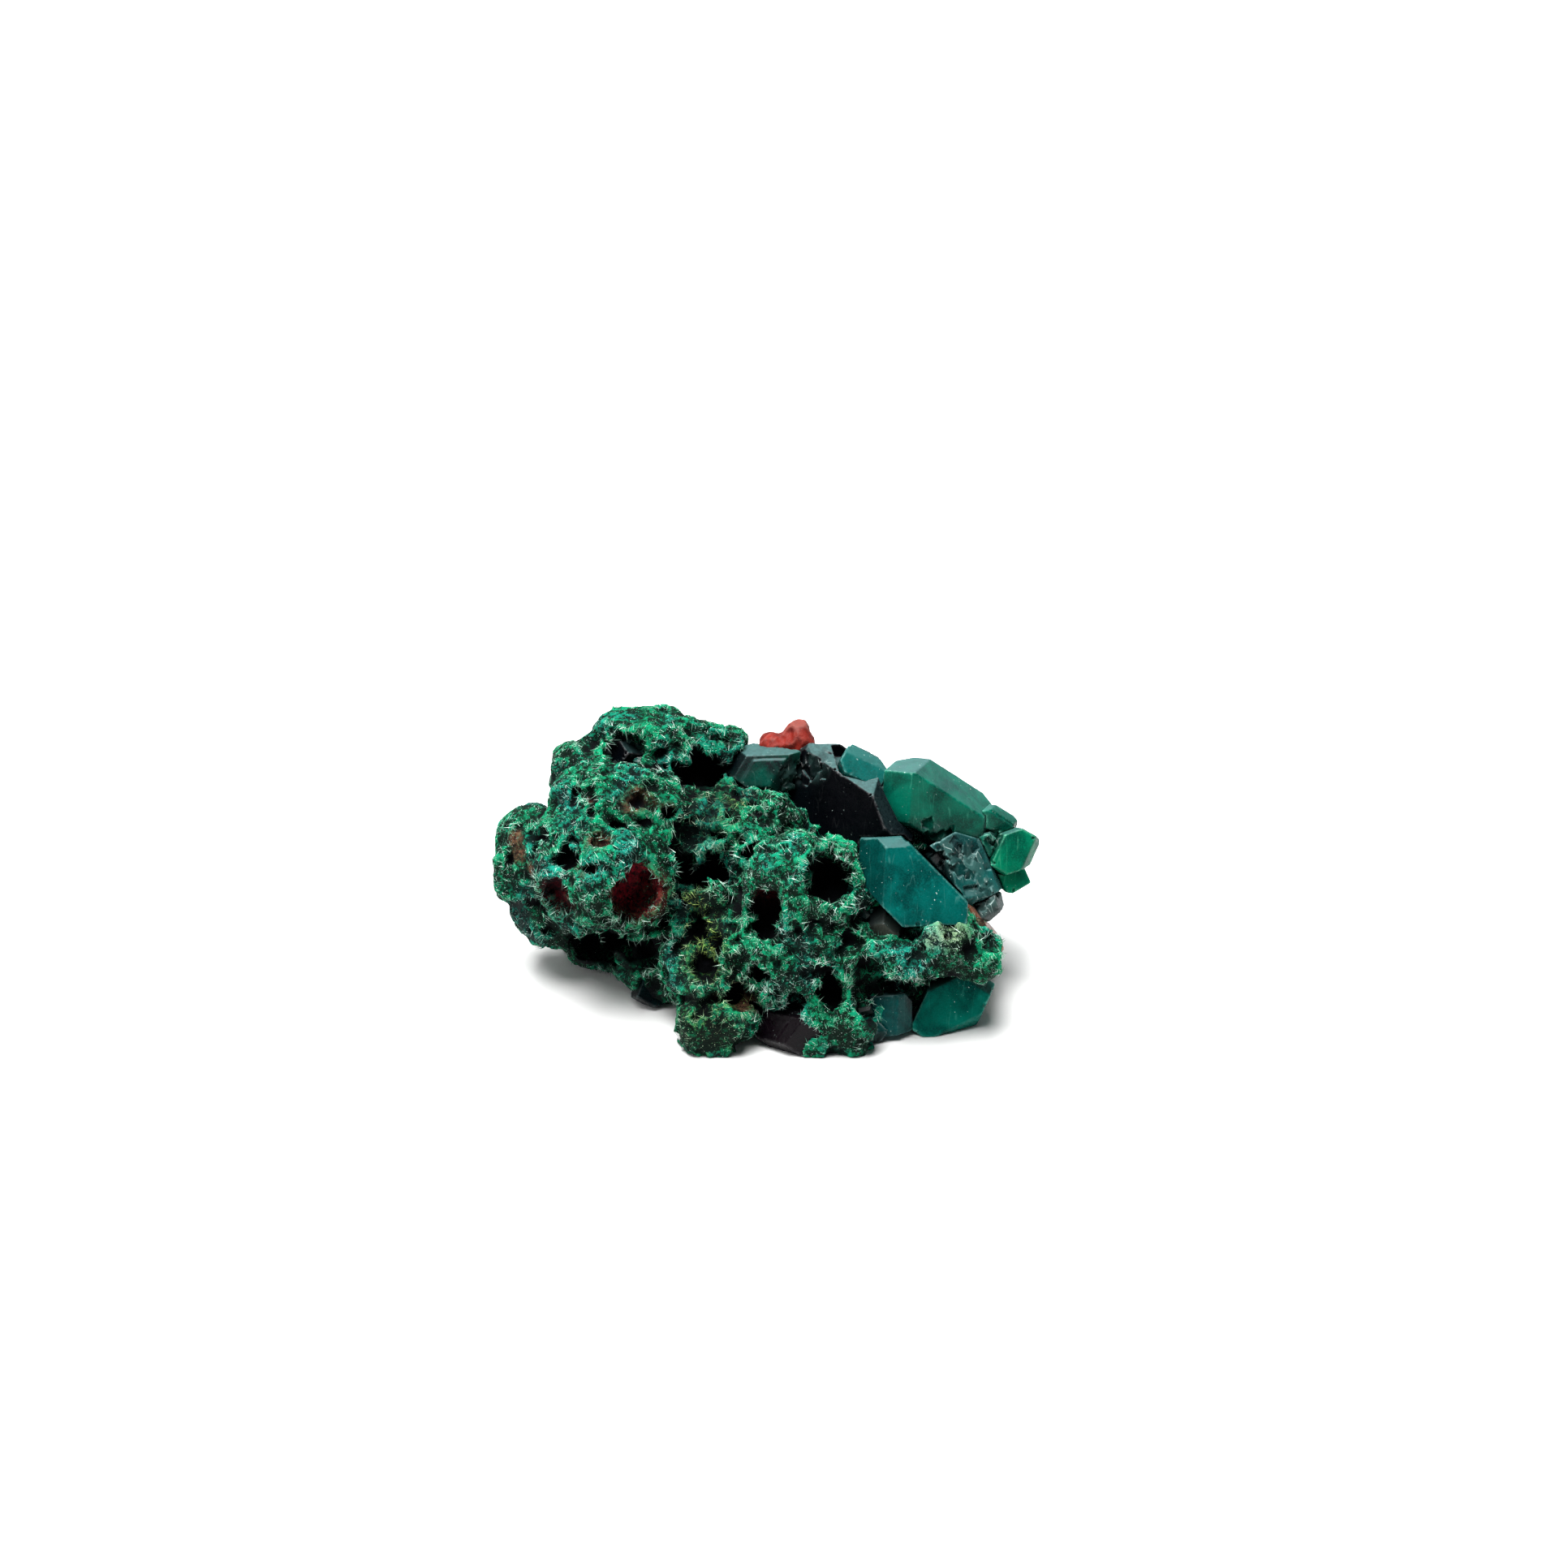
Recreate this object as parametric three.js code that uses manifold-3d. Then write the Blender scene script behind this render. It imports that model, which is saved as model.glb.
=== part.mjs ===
// A hand-sized mineral specimen: a vuggy lump of matrix grown over with felted green malachite, carrying a
// cluster of blocky dark green dioptase crystals on its right end and a red cuprite grain on its crest.
// Millimetres. +X runs along the specimen towards the crystals, +Y to its back, +Z up. It rests on z = 0.
// The matrix is one solid. Every crystal is a solid of its own, seated in a socket of the matrix.
import * as THREE from "three";
import { ConvexGeometry } from "three/addons/geometries/ConvexGeometry.js";
import { mergeVertices } from "three/addons/utils/BufferGeometryUtils.js";
import Module from "manifold-3d";

// ---------------------------------------------------------------- driving dimensions
const GAP = 0.3; // clearance between a crystal and whatever it grows against
const FLOOR = 0; // the height of the ground base
const LUMP = 0.09; // how far a lobe swells and shrinks, as a share of its radius
const CAP_TILT = 50.9; // degrees between dioptase's c axis and the normal of a rhombohedron {02-21} face
const RAD = Math.PI / 180;

// Each lobe: centre x, y, z, and radii along X, Y and Z.
const LOBES = [
  // the big knob at the left end and what stands behind it
  [-16.2, -1.2, 13.4, 8.2, 6.8, 7.2],
  [-13.9, 3.6, 17.4, 7.2, 6.5, 5.8],
  [-22.9, 3.5, 11.8, 4.5, 4.8, 5.4],
  [-17.0, 7.5, 19.2, 3.9, 4.6, 3.9],
  // the crest along the top
  [-14.0, 10.2, 22.0, 3.6, 3.8, 3.1],
  [-9.6, 10.4, 21.4, 4.2, 3.8, 2.9],
  [-5.2, 10.2, 21.1, 3.4, 3.4, 2.3],
  // the spongy saddle between the knob and the centre
  [-3.5, 4.5, 16.0, 6.4, 6.0, 4.6],
  [-6.0, 1.0, 12.0, 6.0, 6.0, 5.6],
  // the centre lobe, from its crown down to the front foot
  [3.7, -5.0, 13.6, 6.3, 5.4, 5.7],
  [3.4, -6.2, 8.0, 7.4, 6.2, 7.0],
  [6.2, -9.6, 3.0, 5.6, 4.8, 4.6],
  [-5.0, -6.0, 6.2, 6.0, 5.6, 5.4],
  [-5.0, -10.6, 1.7, 3.8, 3.4, 3.4],
  // the low flank below the knob
  [-21.0, 2.4, 6.6, 4.2, 4.6, 3.6],
  [-10.6, 0.8, 3.6, 5.6, 6.4, 5.0],
  [-16.6, 4.6, 4.0, 4.8, 5.6, 4.6],
  // the finger that reaches over the base crystals
  [11.0, -8.6, 8.4, 3.2, 3.0, 2.7],
  [14.8, -8.6, 7.8, 3.3, 3.0, 2.6],
  [18.0, -8.4, 8.9, 3.4, 3.0, 2.8],
  [20.9, -8.2, 7.9, 2.7, 2.8, 2.4],
  // the core under the crystals and the back of the specimen
  [20.0, 3.2, 9.6, 3.6, 4.4, 4.6],
  [10.0, 3.0, 9.4, 8.6, 7.4, 7.4],
  [15.5, 4.6, 9.4, 6.4, 6.8, 6.0],
  [-2.0, 8.0, 8.6, 9.6, 6.4, 8.8],
  [-12.0, 9.0, 12.4, 8.6, 5.4, 8.6],
  [-5.6, 9.6, 17.4, 4.6, 3.6, 3.4],
  [6.0, 9.6, 12.4, 7.0, 4.8, 6.4],
  [9.0, 5.0, 2.6, 9.0, 6.6, 4.0],
  [15.4, -3.8, 3.0, 6.0, 3.8, 3.9],
  [17.2, -4.2, 8.2, 4.6, 3.8, 3.4],
];

// Each open pocket in the matrix: centre x, y, z, and radius.
const POCKETS = [
  // in the knob
  [-12.7, -7.0, 15.6, 2.3],
  [-20.3, -6.2, 13.6, 1.9],
  [-19.0, -4.9, 18.0, 1.1],
  // in the crest and under it
  [-14.1, 7.4, 22.6, 1.9],
  [-6.2, 7.2, 19.8, 2.0],
  // in the saddle
  [-4.6, -0.4, 17.6, 1.5],
  [-7.5, -3.4, 14.6, 2.3],
  [-4.2, -3.0, 15.0, 1.5],
  [0.2, -0.6, 16.2, 1.6],
  [-6.2, -10.2, 8.6, 1.7],
  // in the centre lobe and its foot
  [5.9, -7.8, 16.4, 2.1],
  [0.8, -9.1, 15.0, 1.7],
  [-0.2, -9.8, 12.2, 1.3],
  [6.2, -11.9, 6.8, 1.5],
  [-0.7, -11.5, 8.2, 1.3],
  [-3.2, -10.9, 5.4, 1.5],
  // under the knob
  [-16.8, -1.6, 5.4, 2.4],
  // in the back
  [-8.4, 13.6, 14.6, 2.1],
  [2.2, 14.2, 10.0, 1.7],
  [-16.6, 11.6, 9.6, 1.8],
  [-2.6, 13.0, 4.2, 1.5],
];

// Each crystal: its centre, the way its c axis points as azimuth from +X and elevation, its roll about that
// axis, the prism's three half widths, the three heights at which the upper rhombohedron faces would meet
// the axis, and the one height of the lower three.
const CRYSTALS = {
  crystal_ridge: {
    at: [17.3, 4.0, 18.1],
    axis: [-170, 39],
    roll: -44,
    half: [3.5, 2.2, 2.5],
    top: [7.0, 7.4, 7.0],
    tail: 7.1,
  },
  crystal_front: {
    at: [13.8, -4.0, 14.1],
    axis: [-53, -15],
    roll: 100,
    half: [5.7, 4.5, 3.0],
    top: [6.5, 6.5, 9.8],
    tail: 7.1,
  },
  crystal_cap: {
    at: [9.5, 5.6, 21.7],
    axis: [-69, -5],
    roll: -54,
    half: [2.7, 2.1, 1.3],
    top: [4.3, 2.7, 2.9],
    tail: 3.1,
  },
  crystal_dark: {
    at: [7.8, 5.5, 17.7],
    axis: [136, 10],
    roll: -102,
    half: [4.5, 4.4, 2.6],
    top: [8.7, 9.6, 7.1],
    tail: 9.1,
  },
  crystal_crest: {
    at: [0.5, 8.0, 20.3],
    axis: [-8, 7],
    roll: -99,
    half: [1.8, 2.2, 3.0],
    top: [5.6, 5.4, 4.0],
    tail: 4.7,
  },
  crystal_right: {
    at: [18.1, 0.0, 12.9],
    axis: [-166, 25],
    roll: -15,
    half: [3.5, 2.0, 4.0],
    top: [5.3, 4.8, 5.2],
    tail: 6.4,
  },
  crystal_tip_upper: {
    at: [25.0, 3.0, 13.7],
    axis: [-125, 6],
    roll: -125,
    half: [2.4, 1.9, 1.6],
    top: [4.1, 1.9, 3.1],
    tail: 3.2,
  },
  crystal_tip_lower: {
    at: [24.5, 2.5, 10.7],
    axis: [-34, 0],
    roll: -3,
    half: [1.2, 1.3, 1.4],
    top: [2.7, 1.5, 2.2],
    tail: 1.7,
  },
  crystal_base_left: {
    at: [11.7, -9.0, 2.2],
    axis: [159, 28],
    roll: 79,
    half: [2.9, 2.2, 1.4],
    top: [2.9, 1.5, 2.6],
    tail: 3.3,
  },
  crystal_base_right: {
    at: [18.5, -7.5, 1.9],
    axis: [-163, -20],
    roll: 93,
    half: [2.6, 2.3, 1.3],
    top: [4.4, 3.4, 6.1],
    tail: 4.8,
  },
  crystal_tip_root: {
    at: [22.7, 3.9, 12.8],
    axis: [-170, 39],
    roll: -44,
    half: [2.3, 2.0, 2.3],
    top: [4.2, 4.2, 4.2],
    tail: 4.2,
  },
  crystal_step: {
    at: [22.9, 4.4, 15.8],
    axis: [-170, 39],
    roll: -44,
    half: [1.6, 1.2, 1.4],
    top: [3.0, 3.0, 3.0],
    tail: 3.0,
  },
  crystal_shard: {
    at: [22.0, -1.2, 9.6],
    axis: [40, 20],
    roll: 10,
    half: [1.3, 1.0, 1.2],
    top: [2.2, 2.2, 2.2],
    tail: 2.4,
  },
  crystal_stained: {
    at: [20.6, -3.4, 8.6],
    axis: [-8, -52],
    roll: 20,
    half: [1.5, 1.2, 1.4],
    top: [4.4, 4.4, 4.4],
    tail: 4.6,
  },
  crystal_grey: {
    at: [12.0, -6.2, 10.6],
    axis: [150, 35],
    roll: 15,
    half: [1.7, 1.4, 1.6],
    top: [2.4, 2.4, 2.4],
    tail: 2.6,
  },
  crystal_base_small: {
    at: [11.0, -10.4, 0.9],
    axis: [20, 50],
    roll: 0,
    half: [1.1, 0.9, 1.0],
    top: [1.8, 1.8, 1.8],
    tail: 1.8,
  },
  crystal_foot: {
    at: [2.4, -10.8, 1.7],
    axis: [-35, 10],
    roll: 30,
    half: [2.5, 2.0, 2.2],
    top: [4.6, 4.6, 4.6],
    tail: 4.0,
  },
  crystal_lower_left: {
    at: [-11.1, -3.2, 1.1],
    axis: [-125, 12],
    roll: 0,
    half: [1.6, 1.3, 1.5],
    top: [3.0, 3.0, 3.0],
    tail: 3.0,
  },
  crystal_pocket: {
    at: [-14.0, 8.4, 21.4],
    axis: [-80, 40],
    roll: 20,
    half: [1.6, 1.3, 1.4],
    top: [2.0, 2.0, 2.0],
    tail: 2.6,
  },
  crystal_back_upper: {
    at: [13.0, 9.0, 14.6],
    axis: [70, 30],
    roll: 10,
    half: [3.2, 2.6, 2.9],
    top: [5.4, 5.0, 5.8],
    tail: 5.0,
  },
  crystal_back_right: {
    at: [19.4, 8.0, 9.0],
    axis: [35, 12],
    roll: 40,
    half: [2.6, 2.1, 2.4],
    top: [4.8, 4.4, 5.2],
    tail: 4.6,
  },
  crystal_back_lower: {
    at: [11.6, 10.6, 6.6],
    axis: [100, -8],
    roll: 75,
    half: [2.4, 1.9, 2.2],
    top: [4.2, 4.2, 4.6],
    tail: 4.0,
  },
};

// The cuprite grain: two lumps, given as the lobes are.
const GRAIN = [
  [3.3, 10.6, 21.4, 1.7, 1.9, 2.6],
  [1.0, 10.8, 21.0, 1.6, 1.7, 2.1],
];

// ---------------------------------------------------------------- solids
const wasm = await Module();
wasm.setup();

// A closed three.js geometry as a manifold solid.
function solidOf(geometry) {
  const bare = geometry.clone();
  bare.deleteAttribute("normal");
  bare.deleteAttribute("uv");
  const merged = mergeVertices(bare, 1e-4);
  return new wasm.Manifold(
    new wasm.Mesh({
      numProp: 3,
      vertProperties: merged.getAttribute("position").array,
      triVerts: new Uint32Array(merged.index.array),
    }),
  );
}

// A manifold solid as a three.js geometry.
function geometryOf(solid) {
  const mesh = solid.getMesh();
  const geometry = new THREE.BufferGeometry();
  geometry.setAttribute("position", new THREE.BufferAttribute(mesh.vertProperties, 3));
  geometry.setIndex(new THREE.BufferAttribute(mesh.triVerts, 1));
  geometry.computeVertexNormals();
  return geometry;
}

// A lumpy ellipsoid: a sphere whose radius swells and shrinks in three waves, each lobe in its own phase.
function lobe([x, y, z, rx, ry, rz], index, grow = 0) {
  const geometry = new THREE.IcosahedronGeometry(1, rx > 4 ? 2 : 1);
  const place = geometry.getAttribute("position");
  const p = new THREE.Vector3();
  for (let i = 0; i < place.count; i++) {
    p.fromBufferAttribute(place, i);
    let wave = Math.sin(3.1 * p.x + 1.7 * index);
    wave += Math.sin(3.7 * p.y + 2.3 * index);
    wave += Math.sin(3.3 * p.z + 0.9 * index);
    p.multiplyScalar(1 + (LUMP * wave) / 2);
    place.setXYZ(i, x + (rx + grow) * p.x, y + (ry + grow) * p.y, z + (rz + grow) * p.z);
  }
  return solidOf(geometry);
}

// The unit vectors of a crystal's frame: its first prism face, its second, and its c axis.
function crystalFrame({ axis: [azimuth, elevation], roll }) {
  const flat = Math.cos(elevation * RAD);
  const rise = Math.sin(elevation * RAD);
  const c = new THREE.Vector3(flat * Math.cos(azimuth * RAD), flat * Math.sin(azimuth * RAD), rise);
  const across = new THREE.Vector3(0, 0, 1).cross(c).normalize();
  const x = across.clone().applyAxisAngle(c, roll * RAD);
  return new THREE.Matrix4().makeBasis(x, c.clone().cross(x), c);
}

// The twelve faces of a crystal as planes about its own centre, each moved out by grow: the hexagonal prism
// {11-20}, three rhombohedron faces over alternate prism edges at the top, and three over the others below.
function crystalFaces({ half, top, tail }, grow) {
  const faces = [];
  for (let k = 0; k < 6; k++) {
    const angle = 60 * k * RAD;
    const normal = new THREE.Vector3(Math.cos(angle), Math.sin(angle), 0);
    faces.push({ normal, reach: half[k % 3] + grow });
  }
  for (let k = 0; k < 3; k++) {
    for (const [end, first, height] of [[1, 30, top[k]], [-1, 90, tail]]) {
      const angle = (first + 120 * k) * RAD;
      const slant = Math.sin(CAP_TILT * RAD);
      const rise = Math.cos(CAP_TILT * RAD);
      const normal = new THREE.Vector3(slant * Math.cos(angle), slant * Math.sin(angle), end * rise);
      faces.push({ normal, reach: height * rise + grow });
    }
  }
  return faces;
}

// The corners of the solid that lies inside every plane: each point where three planes meet and no other
// plane cuts it off.
function corners(faces) {
  const points = [];
  for (let i = 0; i < faces.length; i++)
    for (let j = i + 1; j < faces.length; j++)
      for (let k = j + 1; k < faces.length; k++) {
        const [a, b, c] = [faces[i], faces[j], faces[k]];
        const volume = a.normal.clone().cross(b.normal).dot(c.normal);
        if (Math.abs(volume) < 1e-6) continue;
        const point = b.normal.clone().cross(c.normal).multiplyScalar(a.reach);
        point.addScaledVector(c.normal.clone().cross(a.normal), b.reach);
        point.addScaledVector(a.normal.clone().cross(b.normal), c.reach);
        point.divideScalar(volume);
        if (faces.every((face) => face.normal.dot(point) < face.reach + 1e-6)) points.push(point);
      }
  return points;
}

// A crystal as a solid in its place. grow moves every face out, which makes the socket that it sits in.
function crystal(habit, grow = 0) {
  const geometry = new ConvexGeometry(corners(crystalFaces(habit, grow)));
  geometry.applyMatrix4(crystalFrame(habit).setPosition(...habit.at));
  return solidOf(geometry);
}

const floorBlock = solidOf(new THREE.BoxGeometry(200, 200, 40).translate(0, 0, FLOOR - 20));

// Every lump of a list as one solid, each swollen by grow.
function lumps(list, grow = 0) {
  return wasm.Manifold.union(list.map((sizes, index) => lobe(sizes, index, grow)));
}

const sockets = Object.values(CRYSTALS).map((habit) => crystal(habit, GAP));
const grainSocket = lumps(GRAIN, GAP);
const pockets = POCKETS.map(([x, y, z, radius]) => {
  const ball = new THREE.IcosahedronGeometry(radius, 1);
  return solidOf(ball.translate(x, y, z));
});
const hollows = wasm.Manifold.union([floorBlock, grainSocket, ...pockets, ...sockets]);
const matrix = lumps(LOBES).subtract(hollows);

// ---------------------------------------------------------------- the specimen
const dioptase = new THREE.MeshStandardMaterial({ color: 0x0b5a48, roughness: 0.25, metalness: 0 });
const cuprite = new THREE.MeshStandardMaterial({ color: 0xa8371f, roughness: 0.45, metalness: 0 });
const malachite = new THREE.MeshStandardMaterial({ color: 0x2f8f6c, roughness: 0.9, metalness: 0 });

const specimen = new THREE.Group();
function add(name, solid, material) {
  const mesh = new THREE.Mesh(geometryOf(solid), material);
  mesh.name = name;
  specimen.add(mesh);
}
add("matrix", matrix, malachite);
// Where two crystals grow through each other the one listed first keeps its whole shape.
Object.entries(CRYSTALS).forEach(([name, habit], index) => {
  const earlier = [grainSocket, ...sockets.slice(0, index)];
  const solid = crystal(habit).subtract(wasm.Manifold.union([floorBlock, ...earlier]));
  add(name, solid, dioptase);
});
add("cuprite_grain", lumps(GRAIN), cuprite);

// Put the middle of the specimen's footprint over the origin.
const box = new THREE.Box3().setFromObject(specimen);
const middle = box.getCenter(new THREE.Vector3());
specimen.position.set(-middle.x, -middle.y, -box.min.z);

export default specimen;
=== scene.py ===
import math

import bpy
import numpy as np
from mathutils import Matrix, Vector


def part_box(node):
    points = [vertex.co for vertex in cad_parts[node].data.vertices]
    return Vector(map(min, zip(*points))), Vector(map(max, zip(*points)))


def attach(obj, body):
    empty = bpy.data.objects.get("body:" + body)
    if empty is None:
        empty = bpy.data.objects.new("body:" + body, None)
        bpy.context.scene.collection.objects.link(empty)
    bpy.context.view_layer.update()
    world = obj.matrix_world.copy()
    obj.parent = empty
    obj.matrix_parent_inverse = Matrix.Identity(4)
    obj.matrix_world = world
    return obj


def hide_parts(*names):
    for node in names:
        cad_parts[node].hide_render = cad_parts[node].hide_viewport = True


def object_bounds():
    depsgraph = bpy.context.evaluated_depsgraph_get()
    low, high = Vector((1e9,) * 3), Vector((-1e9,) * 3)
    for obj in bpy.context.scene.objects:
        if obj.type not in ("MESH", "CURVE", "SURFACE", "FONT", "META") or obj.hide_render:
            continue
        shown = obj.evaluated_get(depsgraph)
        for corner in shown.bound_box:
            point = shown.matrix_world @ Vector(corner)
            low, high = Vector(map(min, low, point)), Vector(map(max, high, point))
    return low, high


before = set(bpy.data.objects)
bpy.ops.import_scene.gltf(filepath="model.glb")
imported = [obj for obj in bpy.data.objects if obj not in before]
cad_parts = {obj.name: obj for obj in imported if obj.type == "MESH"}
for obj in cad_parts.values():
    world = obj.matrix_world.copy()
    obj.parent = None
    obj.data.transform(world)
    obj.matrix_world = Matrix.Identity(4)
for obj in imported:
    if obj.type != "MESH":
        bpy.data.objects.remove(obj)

import openvdb
from mathutils import Vector

# A hand-sized mineral specimen: a pitted lump of matrix felted with malachite needles, a cluster of
# blocky dioptase crystals on its right end and a red cuprite grain on its crest. Lengths are in
# millimetres until a mesh is made. Blender itself works in metres.

CAD_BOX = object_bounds()
MM = 0.001
TRIANGLES = 190000  # the most triangles that the rock piece keeps after thinning; the most that one piece may have
ROOT = "root"
ALL_LOW, ALL_HIGH = (np.array(corner) / MM for corner in CAD_BOX)
CRYSTALS = sorted(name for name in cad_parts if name.startswith("crystal_"))


# ---------------------------------------------------------------- fields: numbers over a box of space
class Space:
    """A box of evenly spaced points: point (i, j, k) stands at low + cell * (i, j, k)."""

    def __init__(self, low, high, cell, margin):
        self.cell = cell
        self.low = np.array(low, float) - margin
        self.shape = tuple(np.ceil((np.array(high, float) + margin - self.low) / cell).astype(int) + 1)

    def axis(self, which):
        return (self.low[which] + self.cell * np.arange(self.shape[which])).astype(np.float32)

    def coordinates(self):
        x, y, z = self.axis(0), self.axis(1), self.axis(2)
        return x[:, None, None], y[None, :, None], z[None, None, :]

    def window(self, centre, reach):
        """The part of a field within reach of a place, and how far its points are from that place."""
        first = np.maximum(np.floor((centre - reach - self.low) / self.cell).astype(int), 0)
        last = np.minimum(np.ceil((centre + reach - self.low) / self.cell).astype(int) + 1, self.shape)
        part = tuple(slice(a, max(a, b)) for a, b in zip(first, last))
        x, y, z = (self.axis(axis)[part[axis]] - centre[axis] for axis in range(3))
        return part, (x[:, None, None], y[None, :, None], z[None, None, :])

    def read(self, field, points):
        """The field's value at each point, read between its eight neighbours."""
        place = (points - self.low) / self.cell
        place = np.clip(place, 0, np.array(self.shape) - 1.001)
        base = place.astype(int)
        part = place - base
        total = np.zeros(len(points))
        for dx in (0, 1):
            for dy in (0, 1):
                for dz in (0, 1):
                    weight = np.ones(len(points))
                    for axis, step in enumerate((dx, dy, dz)):
                        weight = weight * (part[:, axis] if step else 1 - part[:, axis])
                    total += weight * field[base[:, 0] + dx, base[:, 1] + dy, base[:, 2] + dz]
        return total


def box_of(nodes):
    """The lowest and highest corner of several CAD nodes together, in millimetres."""
    boxes = [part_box(node) for node in nodes]
    low = np.min([np.array(b[0]) for b in boxes], axis=0) / MM
    high = np.max([np.array(b[1]) for b in boxes], axis=0) / MM
    return low, high


def node_triangles(node):
    """A CAD node's corner points in millimetres and its triangles."""
    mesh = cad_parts[node].data
    mesh.calc_loop_triangles()
    points = np.zeros(len(mesh.vertices) * 3, np.float32)
    mesh.vertices.foreach_get("co", points)
    corners = np.zeros(len(mesh.loop_triangles) * 3, np.int32)
    mesh.loop_triangles.foreach_get("vertices", corners)
    return points.reshape(-1, 3) / MM, corners.reshape(-1, 3)


def distance_to(nodes, space, reach):
    """How far each point is from the CAD nodes' surfaces, negative inside, known out to reach."""
    points = []
    triangles = []
    count = 0
    for node in nodes:
        corners, faces = node_triangles(node)
        points.append(corners - space.low)
        triangles.append(faces + count)
        count += len(corners)
    grid = openvdb.FloatGrid.createLevelSetFromPolygons(
        np.concatenate(points).astype(np.float32),
        triangles=np.concatenate(triangles).astype(np.uint32),
        transform=openvdb.createLinearTransform(voxelSize=space.cell),
        halfWidth=reach / space.cell,
    )
    field = np.zeros(space.shape, np.float32)
    grid.copyToArray(field)
    return field


def softened(field, rounds):
    """The field with each value shared with its neighbours, rounds times over."""
    for _ in range(rounds):
        for axis in range(3):
            ahead = np.roll(field, -1, axis)
            behind = np.roll(field, 1, axis)
            field = (ahead + behind + 2 * field) * 0.25
    return field


def spread_out(field, strides=(1, 2, 4, 8)):
    """The field shared far and wide: how full it is within about fourteen cells."""
    room = 24
    field = np.pad(field, room)
    for stride in strides:
        for _ in range(4):
            for axis in range(3):
                field = (np.roll(field, stride, axis) + np.roll(field, -stride, axis) + 2 * field) * 0.25
    return field[room:-room, room:-room, room:-room]


def swell(space, size, seed):
    """Smooth random numbers, mostly from -1 to 1, that rise and fall over about size millimetres."""
    rng = np.random.default_rng(seed)
    places = [space.axis(axis) / size for axis in range(3)]
    starts = [int(math.floor(place[0])) for place in places]
    counts = [int(math.floor(place[-1])) - start + 4 for place, start in zip(places, starts)]
    values = rng.uniform(-1, 1, counts)
    for axis in range(3):
        local = places[axis] - starts[axis]
        base = np.floor(local).astype(int)
        t = local - base
        weights = (
            (1 - t) ** 3 / 6,
            (3 * t**3 - 6 * t**2 + 4) / 6,
            (-3 * t**3 + 3 * t**2 + 3 * t + 1) / 6,
            t**3 / 6,
        )
        moved = np.moveaxis(values, axis, 0)
        spread = sum(w[:, None, None] * moved[base + i] for i, w in enumerate(weights))
        values = np.moveaxis(spread, 0, axis)
    return (2.2 * values).astype(np.float32)


def ramp(value, start, end):
    """0 at start, 1 at end, with a soft turn at both."""
    t = np.clip((value - start) / (end - start), 0, 1)
    return t * t * (3 - 2 * t)


def soft_max(a, b, soft):
    """The larger of two fields, rounded over where they are within soft of each other."""
    overlap = np.maximum(soft - np.abs(a - b), 0)
    return np.maximum(a, b) + overlap * overlap / (4 * soft)


def fullness(field, space, points, rounds):
    """How much of the space near each point the solid fills, from 0 to 1. More rounds look further."""
    return space.read(softened((field < 0).astype(np.float32), rounds), points)


def bent(field, space, swells):
    """The field pulled about so that nothing stays round. Each swell is its push, size and first seed."""
    places = np.stack([axis.ravel() for axis in np.broadcast_arrays(*space.coordinates())], axis=1)
    for push, size, seed in swells:
        for axis in range(3):
            places[:, axis] += push * swell(space, size, seed + axis).ravel()
    return space.read(field, places).reshape(space.shape).astype(np.float32)


def kept_between(field, space, low, high):
    """The field with everything below low and above high taken away, axis by axis."""
    for line, first, last in zip(space.coordinates(), low, high):
        field = np.maximum(field, np.maximum(first - line, line - last))
    return field


def scoop(field, space, centre, radii, soft, ragged=None):
    """Takes an ellipsoid out of a field, in place. Its rim is rounded over and its wall can be ragged."""
    part, (x, y, z) = space.window(centre, max(radii) + soft + 2 * space.cell)
    along = np.sqrt((x / radii[0]) ** 2 + (y / radii[1]) ** 2 + (z / radii[2]) ** 2)
    hole = (1 - along) * min(radii)
    if ragged is not None:
        hole = hole + ragged[part]
    field[part] = soft_max(field[part], hole.astype(np.float32), soft)


def surface(field, space):
    """The points and four-cornered faces of the surface where the field is zero."""
    grid = openvdb.FloatGrid(float(field.max()))
    grid.copyFromArray(np.ascontiguousarray(field, np.float32))
    grid.transform = openvdb.createLinearTransform(voxelSize=space.cell)
    points, faces = grid.convertToQuads(0.0)
    return points + space.low, faces


def way_out(field, space, points):
    """The unit vector that points out of a field's solid at each point."""
    slope = np.stack([space.read(part, points) for part in np.gradient(field)], axis=1)
    return slope / np.linalg.norm(slope, axis=1)[:, None]


def main_part(points, faces):
    """Only the largest connected part of a surface: no loose crumbs and no hidden bubbles."""
    label = np.arange(len(points))
    starts = faces.ravel()
    ends = np.roll(faces, -1, axis=1).ravel()
    while True:
        before = label.copy()
        low = np.minimum(label[starts], label[ends])
        np.minimum.at(label, label[starts], low)
        np.minimum.at(label, label[ends], low)
        while not np.array_equal(label, label[label]):
            label = label[label]
        if np.array_equal(before, label):
            break
    kept = label == np.bincount(label).argmax()
    place = np.cumsum(kept) - 1
    return points[kept], place[faces[kept[faces[:, 0]]]]


def mesh_piece(name, points, faces):
    """A smooth-shaded mesh object from points in millimetres."""
    mesh = bpy.data.meshes.new(name)
    mesh.vertices.add(len(points))
    mesh.vertices.foreach_set("co", (points * MM).astype(np.float32).ravel())
    mesh.loops.add(faces.size)
    mesh.loops.foreach_set("vertex_index", faces[:, ::-1].astype(np.int32).ravel())
    mesh.polygons.add(len(faces))
    mesh.polygons.foreach_set("loop_start", np.arange(0, faces.size, faces.shape[1], dtype=np.int32))
    mesh.update(calc_edges=True)
    mesh.validate()
    mesh.shade_smooth()
    piece = bpy.data.objects.new(name, mesh)
    bpy.context.scene.collection.objects.link(piece)
    return piece


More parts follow.
